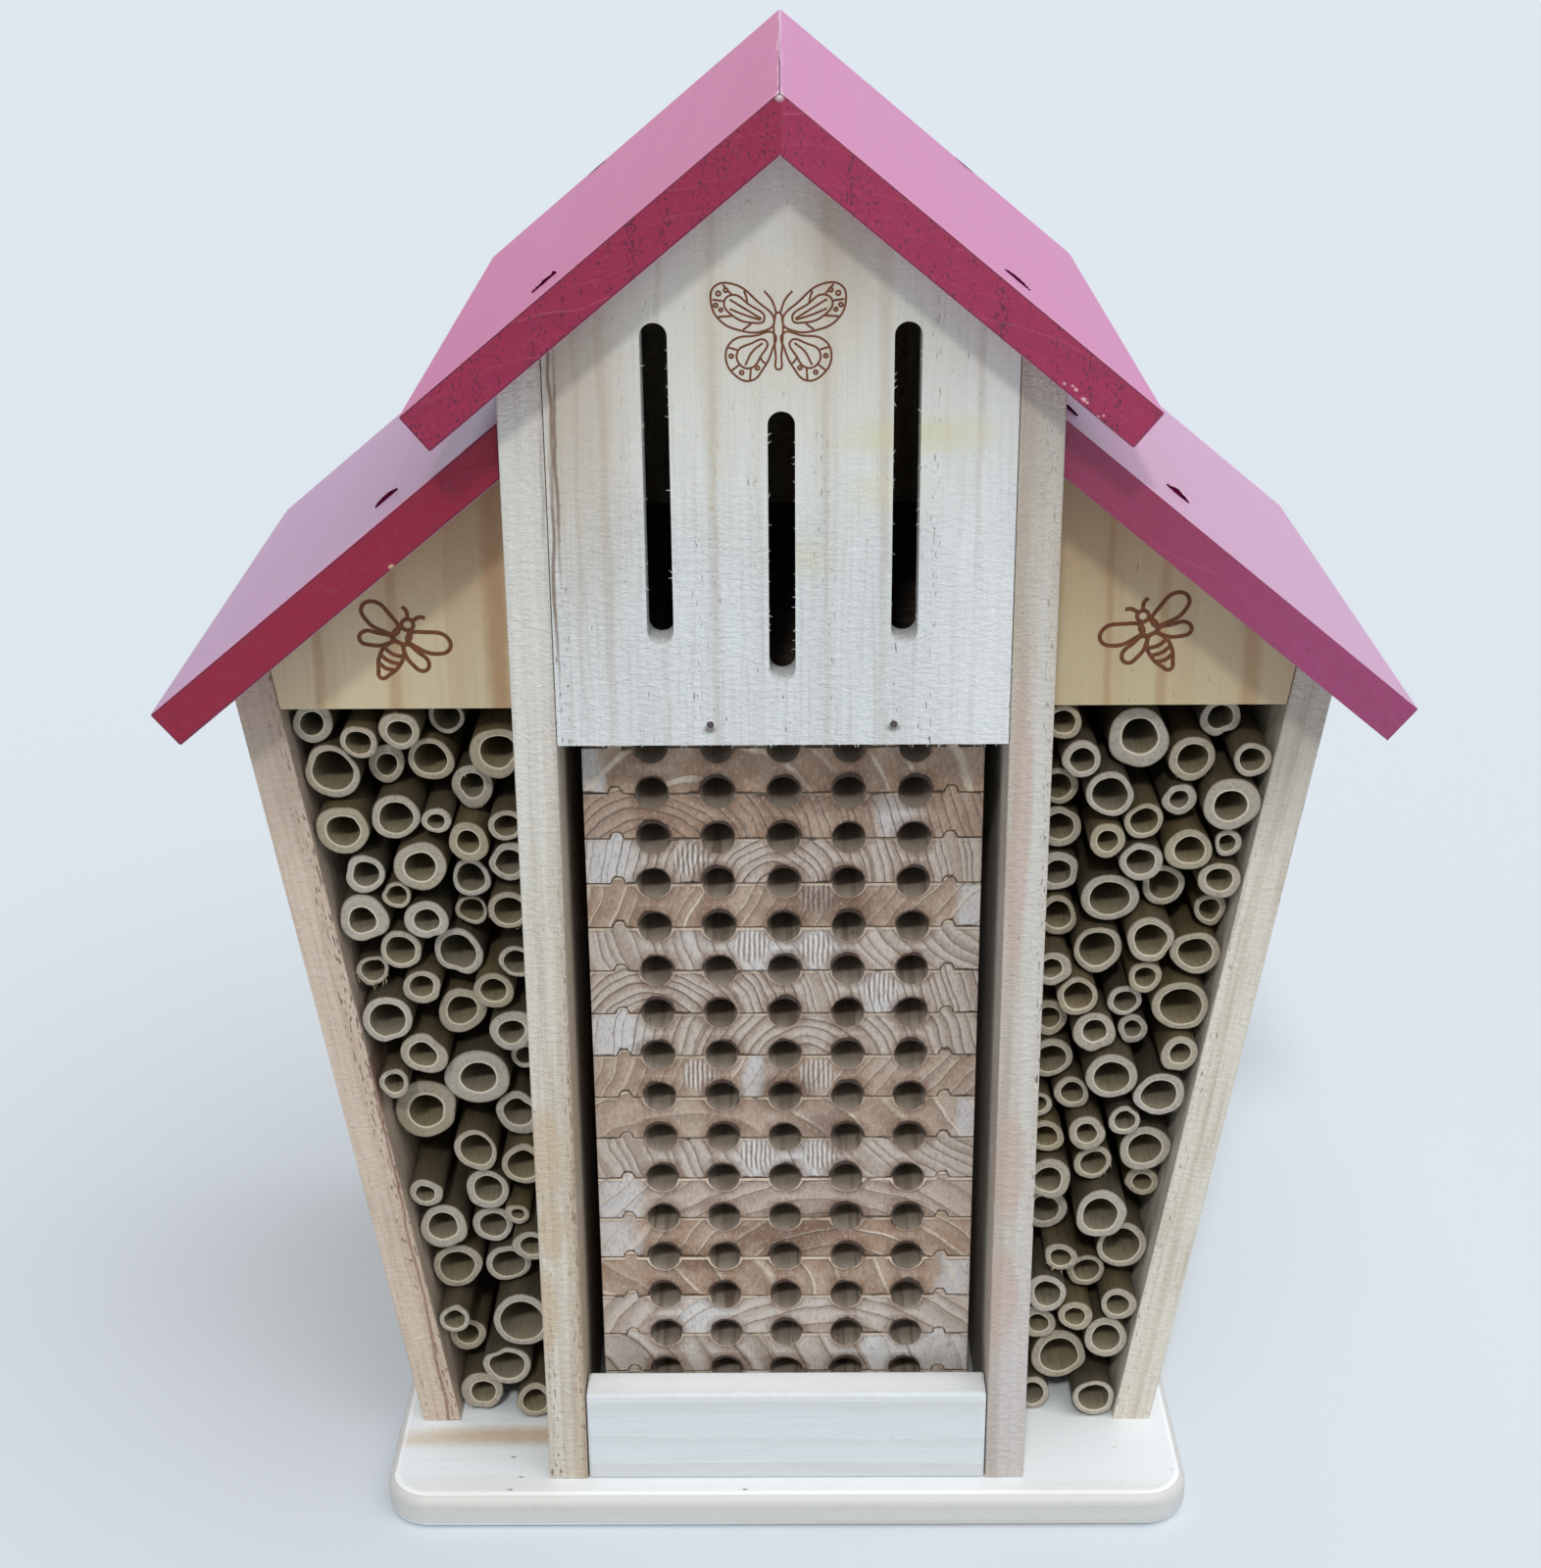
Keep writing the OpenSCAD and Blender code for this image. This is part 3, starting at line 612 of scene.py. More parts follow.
# %% Dress the roof boards
STAIN = dict(late="#7C123A", late_share=0.15, fibre="#7E1439", fibre_share=0.4, dash="#4C0722",
             dash_turn=UPRIGHT_GRAIN, dash_shape=(1.9, 1.9), fuzz=0.03, relief=0.02,
             front_relief=1.0)


def edge_lines_and_top_light(top_light, share):
    """Coats for the eased front edge, a painted highlight and a dark line, and painted light of a hex
    shade and a share on top.
    """
    return [("#F3A3C3", (FORWARD, 0.2, 0.6, 0.6)), ("#4E0A26", (FORWARD, 0.75, 0.97, 0.7)),
            (top_light, (SKYWARD, 0.75, 0.8, share))]


def slit_rims(roof_side):
    """A coat for the paler rim round each slit on one side."""
    return [("#EFA6CB", (place, (4.8, 2.5, 1.0), 0.35, 0.5, side * SLOPE))
            for side, place in STAPLES if side == roof_side]


RIDGE_TOP = 363.9
ridge_wear = [("#D9B9C6", ((0, 0, RIDGE_TOP), (0.5, 260, 0.9), 0.6, 0.5)),
              ("#EFE3E6", ((0.4, ROOF_FRONT, RIDGE_TOP - 0.4), (1.0, 2.2, 1.2), 0.9, 0.7))]
# Place across and up and half size of each chip in the front of the right main board, in mm
CHIPS = [(59.6, 303.6, 0.4), (61.5, 303.1, 0.35), (62.3, 302.3, 0.5), (64.1, 300.2, 0.6),
         (64.8, 299.5, 0.35), (68.7, 296.7, 0.3), (67.6, 296.4, 0.4)]
chips = [("#F0BCC4", ((x, ROOF_FRONT, z), (0.8 * half, 1, 0.6 * half), 0.9, 0.9, 0.6))
         for x, z, half in CHIPS]
bare_chip = [("#F2D9A8", ((-87.6, SIDE_ROOF_FRONT, 258.8), (0.6, 1, 0.5), 0.9, 0.9))]
# A deeper crimson over the upper part of the right side roof's front, near the upright
deeper_upper_front = [("#8A103C", ((72, SIDE_ROOF_FRONT - 1, 266), (32, 3, 30), 0.8, 0.9))]
# The boards on the right get a stronger, paler sheen and a paler top coat than those on the left:
# painted light from the right
main_left_stain = pine(
    "stained_pine_main_roof_left", DEPTH_GRAIN, (-35, 60, 0), ring=7.0, dashes=1.5, rough=0.36,
    sheen=0.5, sheen_tint="#EA7CC6", ior=1.45, body="#931540", spots=ridge_wear + slit_rims(-1),
    faces=edge_lines_and_top_light("#AE3F84", 0.12), **STAIN)
main_right_stain = pine(
    "stained_pine_main_roof_right", DEPTH_GRAIN, (35, 60, 0), ring=7.0, dashes=1.4, rough=0.38,
    sheen=1.0, sheen_tint="#FFB6EA", ior=1.45, body="#9A1846",
    spots=ridge_wear + chips + slit_rims(1), faces=edge_lines_and_top_light("#D8709C", 0.22), **STAIN)
side_left_stain = pine(
    "stained_pine_side_roof_left", DEPTH_GRAIN, (-25, 90, 0), ring=8.0, dashes=0.4, rough=0.3,
    sheen=0.8, sheen_tint="#BFA6D1", ior=1.35, body="#8E0C2C", spots=slit_rims(-1) + bare_chip,
    faces=edge_lines_and_top_light("#8C94C1", 0.1), **STAIN)
side_right_stain = pine(
    "stained_pine_side_roof_right", DEPTH_GRAIN, (25, 90, 0), ring=8.0, dashes=0.4, rough=0.28,
    sheen=1.0, sheen_tint="#FBCDF4", ior=1.5, body="#932A60", spots=deeper_upper_front + slit_rims(1),
    faces=edge_lines_and_top_light("#CAB4CB", 0.12), **STAIN)
eased_board("roof_main_left", main_left_stain, 0.5, joint=0.6)
eased_board("roof_main_right", main_right_stain, 0.5, joint=0.6)
eased_board("roof_side_left", side_left_stain, 0.5)
eased_board("roof_side_right", side_right_stain, 0.5)

# %% Fill the joint at the ridge
# The stain has closed the joint between the two boards on the front, from its top to its foot
JOINT_TOP, JOINT_FOOT = RIDGE_TOP - 0.9, RIDGE_TOP - 12.6
FILLER_WIDTH, FILLER_DEPTH = 0.5, 0.4
joint_middle = Vector((0, ROOF_FRONT + 0.15, (JOINT_TOP + JOINT_FOOT) / 2)) * MM
joint_shape = Matrix.Diagonal((FILLER_WIDTH, FILLER_DEPTH, JOINT_TOP - JOINT_FOOT, 1))
filler = bmesh.new()
bmesh.ops.create_cube(filler, size=MM, matrix=Matrix.Translation(joint_middle) @ joint_shape)
finished_piece(filler, "ridge_joint_filler", "house", [main_left_stain])
print("the filled joint is", round(JOINT_TOP - JOINT_FOOT, 1), "mm long")

# %% [markdown]
# ## Nesting trays
# Each tray shows its end grain: the cut across the trunk, where rings are arcs round the heart.
# Every tray came from another strip, so each has its own heart, ring width and tone. Reading
# one shared pattern would line the rings up from tray to tray. Instead each tray's mesh carries
# its distance from its own heart as an attribute, and the finish draws rings round that. In
# some strips the rings stand out dark on grey, in others pale on brown. Sanding has left a
# chalky patch on most of them.

# %% Find the rings in end grain
def end_grain_rings(tree, heart, ring):
    """How far each point is through its ring's year, from 0 to 1, and how strong that ring is."""
    slow = add(tree, "TexNoise", inputs={
        "Vector": heart, "Scale": 0.06, "Detail": 2.0}, output="Color")
    bend = add(tree, "VectorMath", MULTIPLY_ADD, {0: slow, 1: (5, 0, 5), 2: heart})
    flat = add(tree, "VectorMath", MULTIPLY, {0: bend, 1: (1, 0, 1)})
    radius = add(tree, "VectorMath", {"operation": "LENGTH"}, {0: flat}, "Value")
    years = add(tree, "Math", {"operation": "DIVIDE"}, {0: radius, 1: ring})
    uneven = add(tree, "TexNoise", {"noise_dimensions": "1D"}, {"W": years, "Scale": 0.7, "Detail": 1.0})
    years = add(tree, "Math", MULTIPLY_ADD, {0: uneven, 1: 1.2, 2: years})
    season = add(tree, "Math", {"operation": "FRACT"}, {0: years})
    year = add(tree, "Math", {"operation": "FLOOR"}, {0: years})
    vigour = add(tree, "TexWhiteNoise", {"noise_dimensions": "1D"}, {"W": year})
    return season, add(tree, "MapRange", inputs={"Value": vigour, "To Min": 0.35})


print("rings in end grain are found from the from_heart attribute")

# %% Find the holes and joints
HOLE_PITCH, HOLE_RADIUS, HOLE_RISE = 15.7, 4.0, 0.7
TRAY_PITCH, FIRST_JOINT = 11.85, 20.7
TONGUE_HALF, TONGUE_RISE = 1.5, 1.8
tray_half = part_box("tray_05")[1].x / MM
TONGUE_X = tray_half - (2 * tray_half - 4 * HOLE_PITCH - 2 * HOLE_RADIUS) / 4 - TONGUE_HALF


def holes_and_joints(tree):
    """Distance from the nearest hole's middle, and height above the nearest joint, in mm."""
    # Places are snapped to the grid of holes, and held to the five holes of a row
    place = add(tree, "TexCoord", output="Object")
    half_cell = Vector((HOLE_PITCH / 2, 0, TRAY_PITCH / 2))
    shifted = add(tree, "VectorMath", MULTIPLY_ADD, {
        0: place, 1: (1000, 0, 1000), 2: half_cell - Vector((0, 0, FIRST_JOINT))})
    nearest = add(tree, "VectorMath", {"operation": "SNAP"}, {
        0: shifted, 1: (HOLE_PITCH, 1, TRAY_PITCH)})
    nearest = add(tree, "VectorMath", {"operation": "MINIMUM"}, {
        0: nearest, 1: (2 * HOLE_PITCH, 0, 1000)})
    nearest = add(tree, "VectorMath", {"operation": "MAXIMUM"}, {
        0: nearest, 1: (-2 * HOLE_PITCH, 0, 0)})
    cell = add(tree, "VectorMath", {"operation": "SUBTRACT"}, {0: shifted, 1: nearest})
    cell = add(tree, "VectorMath", {"operation": "SUBTRACT"}, {0: cell, 1: half_cell})
    across = add(tree, "SeparateXYZ", inputs={0: place}, output="X")
    across = add(tree, "Math", {"operation": "ABSOLUTE"}, {0: across})
    off_tongue = add(tree, "Math", MULTIPLY_ADD, {0: across, 1: 1000, 2: -TONGUE_X})
    off_tongue = add(tree, "Math", {"operation": "ABSOLUTE"}, {0: off_tongue})
    tongue = add(tree, "MapRange", SMOOTH, {
        "Value": off_tongue, "From Min": TONGUE_HALF - 0.5, "From Max": TONGUE_HALF + 0.2,
        "To Min": TONGUE_RISE, "To Max": 0.0})
    above = add(tree, "SeparateXYZ", inputs={0: cell}, output="Z")
    above = add(tree, "Math", {"operation": "SUBTRACT"}, {0: above, 1: tongue})
    cell = add(tree, "VectorMath", {"operation": "SUBTRACT"}, {0: cell, 1: (0, 0, HOLE_RISE)})
    return add(tree, "VectorMath", {"operation": "LENGTH"}, {0: cell}, "Value"), above


print("tongues stand", round(TONGUE_X, 1), "mm from the middle")

# %% [markdown]
# The cutter that made the grooves ran hot. It browned the wood round the holes, charred the edges
# of the joints nearly black, and on some trays lifted a pale lip of torn fibre along the top edge
# and under the holes. Both follow the same measure: how far a point is from the tray's own edge.

# %% Char the edges and lift the lips
def soft_step(tree, value, start, end, share=1.0):
    """A share where a value is under its start, fading to 0 at its end."""
    return add(tree, "MapRange", SMOOTH, {
        "Value": value, "From Min": start, "From Max": end, "To Min": share, "To Max": 0.0})


def hot_edges(tree, blotches, lip):
    """Shares of browned wood, charred edge, the dark line under a lip and the pale lip."""
    from_hole, above = holes_and_joints(tree)
    from_rim = add(tree, "Math", {"operation": "SUBTRACT"}, {0: from_hole, 1: HOLE_RADIUS})
    from_joint = add(tree, "Math", {"operation": "ABSOLUTE"}, {0: above})
    from_edge = add(tree, "Math", {"operation": "MINIMUM"}, {0: from_rim, 1: from_joint})
    lip = add(tree, "Math", MULTIPLY, {0: lip, 1: soft_step(tree, above, -0.1, 0.1)})
    spread = add(tree, "Math", MULTIPLY_ADD, {0: blotches, 1: 7.0, 2: from_rim})
    browned = soft_step(tree, spread, 3.4, 6.6, 0.7)
    ragged = add(tree, "Math", MULTIPLY_ADD, {0: blotches, 1: 3.0, 2: from_edge})
    charred = soft_step(tree, ragged, 1.5, 2.0, 0.9)
    unlipped = add(tree, "Math", MULTIPLY_ADD, {0: lip, 1: -1.0, 2: 1.0})
    charred = add(tree, "Math", MULTIPLY, {0: charred, 1: unlipped})
    under_lip = add(tree, "Math", MULTIPLY, {0: lip, 1: soft_step(tree, from_edge, 0.9, 1.3, 0.6)})
    pale_lip = add(tree, "Math", MULTIPLY, {0: lip, 1: soft_step(tree, from_edge, 0.6, 0.9, 0.95)})
    return browned, charred, under_lip, pale_lip


print("charring reaches about 1 mm from an edge")

# %% [markdown]
# Two marks keep to single places. The cutter stood still here and there and scorched the wood
# brown, and the saw tore combs of stripes, pale ridges with dark furrows 1.2 mm apart. Saw
# scratches and fluff run over all of it. The finish lays these on in the order they came.

# %% Draw end grain
# Middle across and up and half size of the scorched places, in mm
SCORCHES = [((0, 117.6), (7, 4, 5)), ((10.5, 107), (6, 4, 4)), ((10.4, 170), (12, 4, 5)),
            ((0, 74), (11, 4, 6)), ((12, 80), (7, 4, 4)), ((-26, 67), (9, 4, 3)),
            ((14, 198), (16, 4, 4))]
# Middle across and up of the torn combs, in mm
COMBS = [(-7.9, 158), (8, 157), (8.4, 171.5), (23.7, 146.5), (8, 122), (-21, 122), (-7, 98.8),
         (9, 98.8), (-22, 181)]


def torn_combs(tree, heart):
    """(share, colour) of stripes 1.2 mm apart, pale ridges and dark furrows, in a few places."""
    stripes = add(tree, "TexWave", {"bands_direction": "X"}, {
        "Vector": heart, "Scale": 0.26, "Distortion": 2.5, "Detail": 1.0, "Detail Scale": 0.6})
    colour = painted(tree, "#6B564A", [(stripes, "#EFEAE4")])
    place = add(tree, "TexCoord", output="Object")
    share = None
    for x, z in COMBS:
        near = add(tree, "VectorMath", MULTIPLY_ADD, {
            0: place, 1: (1000, 0, 1000), 2: (-x, 0, -z)})
        near = add(tree, "VectorMath", {"operation": "LENGTH"}, {0: near}, "Value")
        spot = soft_step(tree, near, 3.4, 5.4, 0.7)
        share = add(tree, "Math", {"operation": "MAXIMUM"}, {0: spot, 1: share}) if share else spot
    return share, colour


def end_grain_finish():
    """Sawn end grain that reads each tray's own heart, ring width, tone, chalky patch and lip."""
    finish, tree, shader = new_finish("sawn_pine_end_grain")
    heart = add(tree, "Attribute", {"attribute_name": "from_heart"}, output="Vector")
    traits = add(tree, "SeparateXYZ", inputs={
        0: add(tree, "Attribute", {"attribute_name": "traits"}, output="Vector")}).node
    tone, ring, pale_rings = traits.outputs
    season, vigour = end_grain_rings(tree, heart, ring)
    saw_marks = add(tree, "TexNoise", inputs={
        "Vector": add(tree, "VectorMath", MULTIPLY, {0: heart, 1: (1, 0.05, 0.5)}),
        "Scale": 1.5, "Detail": 5.0, "Roughness": 0.75})
    blotches = add(tree, "TexNoise", inputs={
        "Vector": heart, "Scale": 0.11, "Detail": 3.0, "Roughness": 0.6})
    chalk = add(tree, "SeparateXYZ", inputs={
        0: add(tree, "Attribute", {"attribute_name": "chalk"}, output="Vector")}).node
    across = add(tree, "SeparateXYZ", inputs={0: heart}, output="X")
    across = add(tree, "Math", {"operation": "SUBTRACT"}, {0: across, 1: chalk.outputs["X"]})
    across = add(tree, "Math", {"operation": "DIVIDE"}, {0: across, 1: chalk.outputs["Y"]})
    across = add(tree, "Math", {"operation": "ABSOLUTE"}, {0: across})
    across = add(tree, "Math", MULTIPLY_ADD, {0: blotches, 1: 3.0, 2: across})
    body = painted(tree, "#CEC7BF", [(tone, "#A38063")])
    line_shade = painted(tree, "#78655A", [(pale_rings, "#E6D6C2")])
    late = add(tree, "MapRange", SMOOTH, {
        "Value": season, "From Min": 0.15, "From Max": 0.85, "To Max": 0.55})
    line = add(tree, "MapRange", SMOOTH, {
        "Value": season, "From Min": 0.8, "From Max": 0.9, "To Max": 0.95})
    line = add(tree, "Math", MULTIPLY, {0: line, 1: vigour})
    patches = add(tree, "MapRange", SMOOTH, {
        "Value": blotches, "From Min": 0.42, "From Max": 0.62, "To Max": 0.35})
    scratches = add(tree, "MapRange", SMOOTH, {
        "Value": saw_marks, "From Min": 0.5, "From Max": 0.66, "To Max": 0.4})
    fluff = soft_step(tree, saw_marks, 0.34, 0.48, 0.3)
    sanded = soft_step(tree, across, 1.9, 3.1, 0.7)
    torn = add(tree, "TexNoise", inputs={"Vector": heart, "Scale": 0.3, "Detail": 2.0})
    torn = add(tree, "MapRange", inputs={"Value": torn, "From Min": 0.36, "From Max": 0.5})
    lip = add(tree, "Math", MULTIPLY, {0: torn, 1: chalk.outputs["Z"]})
    browned, charred, under_lip, pale_lip = hot_edges(tree, blotches, lip)
    coats = [(patches, "#C9BBAD"), (late, "#8B715F"), (sanded, "#DADBDC"), (line, line_shade),
             torn_combs(tree, heart), (browned, "#80624C")]
    coats += [(soft_spot(tree, (x, TRAY_FRONT, z), size, 0.65, 0.9), "#5D3B24")
              for (x, z), size in SCORCHES]
    coats += [(scratches, "#6A5A50"), (fluff, "#DAD3C8"), (charred, "#2C1B13"),
              (under_lip, "#4A3325"), (pale_lip, "#DDCCB6")]
    tree.links.new(painted(tree, body, coats), shader.inputs["Base Color"])
    shader.inputs["Roughness"].default_value = 0.75
    height = add(tree, "Math", MULTIPLY_ADD, {0: saw_marks, 1: 0.5, 2: line})
    tree.links.new(add(tree, "Bump", inputs={
        "Strength": 0.9, "Distance": 0.6 * MM, "Height": height}), shader.inputs["Normal"])
    return finish


end_grain = end_grain_finish()
long_grain = pine(
    "planed_pine_long_grain", DEPTH_GRAIN, (0, 0, 0), ring=5.0, body="#C2AF98", late="#A58A6E",
    dashes=0.4)
drilled_grain = pine(
    "drilled_pine_hole", DEPTH_GRAIN, (0, 0, 0), ring=3.0, body="#94877A", late="#665647",
    dashes=0.6, fuzz=0.2)
print("end grain reads", [n.attribute_name for n in end_grain.node_tree.nodes if n.type == "ATTRIBUTE"])

# %% [markdown]
# ## Choosing each tray's strip
# The strips were picked from bottom to top: the heart's place across the tray and below its
# middle, the ring width, a tone from grey to brown, whether the rings stand out pale or dark, and
# where the chalky patch lies and how wide it is. A heart far away gives slanting lines, a near
# one gives bows. A last list says how far each tray's pale lip shows, from 0 to 1.

# %% Choose the strips
# Heart across, heart up, ring width, tone, pale rings, patch middle, patch half width
STRIPS = [
    (15, -18, 5.0, 0.5, 0.3, 20, 9), (-40, -30, 4.0, 0.3, 0.2, -10, 9),
    (-90, -45, 7.0, 0.0, 0.5, 30, 14), (13, -38, 5.0, 0.08, 0.9, -22, 9),
    (-60, -30, 9.0, 0.8, 1.0, 44, 4), (17, -30, 5.5, 0.86, 0.9, -44, 6),
    (11, -45, 5.0, 0.45, 0.9, -42, 6), (70, 40, 3.0, 0.16, 0.2, -2, 12),
    (-22, -36, 9.0, 0.67, 1.0, 46, 3), (110, -60, 3.6, 0.67, 1.0, -8, 3),
    (8, -10, 2.6, 0.28, 0.2, -42, 9), (-31, -12, 2.2, 0.25, 0.1, 24, 6),
    (70, 35, 3.0, 0.13, 0.2, -2, 14), (110, -60, 3.8, 0.77, 1.0, 46, 3),
    (0, -6, 2.2, 0.28, 0.1, -43, 9), (-31, -14, 2.4, 0.84, 0.1, 28, 5),
    (-18, -20, 9.0, 0.9, 0.9, -46, 3), (10, -15, 3.0, 0.8, 0.5, 40, 6)]
LIPS = [0.3, 0.3, 0.6, 0.7, 1.0, 0.6, 1.0, 0.3, 0.6, 0.5, 0.4, 0.6, 0.7, 0.6, 0.3, 0.2, 0.1, 0.1]
tray_nodes = sorted(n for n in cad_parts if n.startswith("tray_"))
FIXED_TRAYS = ("tray_01", "tray_02", "tray_03")
print("strips chosen:", len(STRIPS), "for trays:", len(tray_nodes))

# %% Dress the trays
END_GRAIN, LONG_GRAIN, HOLE_WALL = 0, 1, 2
TRAY_FINISHES = [end_grain, long_grain, drilled_grain]


def eased_tray(node):
    """A bmesh of one tray: end grain, eased edges, long grain and hole walls kept apart."""
    bm = merged_copy(node)
    eased = set(ease(bm, 0.35 * MM))
    for face in bm.faces:
        from_axis = abs(math.remainder(face.calc_center_median().x / MM, HOLE_PITCH))
        along = abs(face.normal.y) < (0.15 if face in eased else 0.5)
        side = HOLE_WALL if from_axis < HOLE_RADIUS + 0.05 else LONG_GRAIN
        face.material_index = side if along else END_GRAIN
    return bm


for node, strip, lip in zip(tray_nodes, STRIPS, LIPS):
    heart_x, heart_z, ring, tone, pale_rings, patch_x, patch_half = strip
    low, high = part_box(node)
    heart = Vector((heart_x, 0, heart_z)) * MM + (low + high) / 2
    body = "house" if node in FIXED_TRAYS else node
    tray = finished_piece(eased_tray(node), node + "_eased", body, TRAY_FINISHES, [node])
    from_heart, traits, chalk = (tray.data.attributes.new(kept, "FLOAT_VECTOR", "POINT")
                                 for kept in ("from_heart", "traits", "chalk"))
    for i, vertex in enumerate(tray.data.vertices):
        from_heart.data[i].vector = (vertex.co - heart) / MM
        traits.data[i].vector = (tone, ring, pale_rings)
        chalk.data[i].vector = (patch_x - heart_x, patch_half, lip)
print("trays dressed:", len(tray_nodes))

# %% [markdown]
# ## Canes
# Each cane is a sawn length of bamboo. No cane is round: it grew a little oval, often with a
# flat or a shallow groove on one side, and its hollow follows the outside at two to three
# millimetres. A perfect tube would look like plastic pipe, so each one starts as a cylinder, is
# bored, eased at the rim, and has its outline pushed out of round by its own few waves. Its
# place, size, bore and mouth are measured on the model's cane.

# %% Measure the model's canes
def measured_canes(node):
    """(middle, radius, bore radius, mouth, back end) of each cane in a model piece."""
    bm = merged_copy(node)
    canes = []
    for part in loose_parts(bm):
        low, high = ([pick(v.co[k] for v in part) for k in range(3)] for pick in (min, max))
        middle = ((low[0] + high[0]) / 2, (low[2] + high[2]) / 2)
        bore = min(math.hypot(v.co.x - middle[0], v.co.z - middle[1]) for v in part)
        canes.append((middle, (high[0] - low[0]) / 2, bore, low[1], high[1]))
    bm.free()
    return sorted(canes)


cane_nodes = sorted(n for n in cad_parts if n.startswith("canes_"))
canes_of = {node: measured_canes(node) for node in cane_nodes}
print("canes:", sum(len(canes) for canes in canes_of.values()))

# %% [markdown]
# ## Cutting one cane
# A cylinder with closed ends is inset to the bore, the inner discs are removed and their rims
# bridged, so the wall is one closed shell. The two rims are bevelled, because a saw leaves a
# small fuzzy arris. Rings of vertices are cut in behind the mouth, so that what the saw did to
# the mouth stays there.

# %% Bore a cylinder
SIDES_OF_CANE = 44
RINGS_BEHIND_MOUTH = (1.2, 4.0, 12.0, 40.0)
SKIN, CUT, BORE = 0, 1, 2


def bored_cylinder(radius, bore, length):
    """A tube along Y, from 0 to its length, with eased rims."""
    bm = bmesh.new()
    lying = Matrix.Translation((0, length / 2, 0)) @ Matrix.Rotation(math.radians(90), 4, "X")
    bmesh.ops.create_cone(bm, cap_ends=True, cap_tris=False, segments=SIDES_OF_CANE,
                          radius1=radius, radius2=radius, depth=length, matrix=lying)
    caps = [f for f in bm.faces if len(f.verts) > 4]
    bmesh.ops.inset_individual(bm, faces=caps, thickness=radius - bore, use_even_offset=True)
    inner = [e for cap in caps for e in cap.edges]
    bmesh.ops.delete(bm, geom=caps, context="FACES_ONLY")
    bmesh.ops.bridge_loops(bm, edges=inner)
    rims = [e for e in bm.edges if abs(e.verts[0].co.y - e.verts[1].co.y) < 1e-6
            and e.calc_face_angle(0) > math.radians(60)]
    bmesh.ops.bevel(bm, geom=rims, offset=0.35 * MM, offset_type="OFFSET", affect="EDGES",
                    segments=2, profile=0.5, material=-1, clamp_overlap=True)
    for depth in RINGS_BEHIND_MOUTH:
        bmesh.ops.bisect_plane(bm, geom=bm.verts[:] + bm.edges[:] + bm.faces[:], dist=1e-7,
                               plane_co=(0, depth * MM, 0), plane_no=(0, 1, 0))
    return bm


trial = bored_cylinder(6 * MM, 4 * MM, 140 * MM)
print("a cane has", len(trial.faces), "faces")
trial.free()

# %% [markdown]
# The outline is a sum of a few waves: two lobes make an oval, three and five make it lumpy. On
# one cane in three a groove runs where a side shoot grew, and on as many it stands out as a ridge.
# The hollow follows the same outline a little more softly and sits slightly off centre. The widest
# place just reaches the model's cane, so neighbours touch and never cut into each other. The saw
# left each mouth a little tilted and gritty.

# %% Shape one cane
# Number of lobes of each wave, and the most that it swells as a share of the radius
LOBES = ((2, 0.065), (3, 0.035), (5, 0.014))
# Depth of the groove below 0 or of the ridge above it, as a share of the radius
GROOVES = (0, 0, -0.14, -0.1, 0.1, 0.07)


def outline(rng):
    """How far a cane's outline swells at an angle, as waves and one groove of its own."""
    waves = [(n, h * rng.uniform(0.3, 1.0), rng.uniform(0, math.tau)) for n, h in LOBES]
    groove = rng.choice(GROOVES)
    at, wide = rng.uniform(0, math.tau), rng.uniform(0.3, 0.5)

    def swell(angle):
        away = math.remainder(angle - at, math.tau) / wide
        lobes = sum(h * math.cos(n * (angle - a)) for n, h, a in waves)
        return groove * math.exp(-away * away) + lobes

    return swell


# Most that a hollow sits off centre, as a share of the wall, and most that a mouth tilts
OFF_CENTRE, TILT = 0.16, 0.06
# Height and width of the grit that the saw left on a mouth, in mm
GRIT, GRAIN_OF_GRIT = 0.2, 1.2


def cut_cane(cane, rng):
    """One cane in place, with the depth in its wall and its tone kept for the finish."""
    (x, z), radius, bore, mouth, back = cane
    bm = bored_cylinder(radius, bore, back - mouth)
    wall = bm.verts.layers.float.new("wall")
    tone = bm.verts.layers.float.new("tone")
    own_tone = rng.random()
    swell = outline(rng)
    most = max(swell(math.radians(a)) for a in range(0, 360, 5))
    off = Vector((rng.uniform(-1, 1), rng.uniform(-1, 1))) * OFF_CENTRE * (radius - bore)
    tilt = Vector((rng.uniform(-1, 1), rng.uniform(-1, 1))) * TILT
    for vertex in bm.verts:
        angle = math.atan2(vertex.co.z, vertex.co.x)
        share = min(1.0, max(0.0, (radius - math.hypot(vertex.co.x, vertex.co.z)) / (radius - bore)))
        vertex[wall], vertex[tone] = share, own_tone
        at_mouth = 1 if vertex.co.y < 1.0 * MM else 0
        grow = 1.0 + (swell(angle) - most) * (1 - 0.2 * share)
        vertex.co.x = x + vertex.co.x * grow + share * off.x
        vertex.co.z = z + vertex.co.z * grow + share * off.y
        lean = tilt.x * (vertex.co.x - x) + tilt.y * (vertex.co.z - z)
        grit = GRIT * MM * noise.noise(vertex.co / (GRAIN_OF_GRIT * MM))
        vertex.co.y += mouth + at_mouth * (lean + grit + 0.1 * MM)
    for face in bm.faces:
        walls = [v[wall] for v in face.verts]
        depth = max(v.co.y for v in face.verts) - min(v.co.y for v in face.verts)
        cut = max(walls) - min(walls) > 0.05 and depth < 1.5 * MM
        face.material_index = CUT if cut else BORE if min(walls) > 0.5 else SKIN
    return bm


print("swell of one outline at four angles:",
      [round(outline(random.Random(3))(a), 3) for a in (0, 1.57, 3.14, 4.71)])

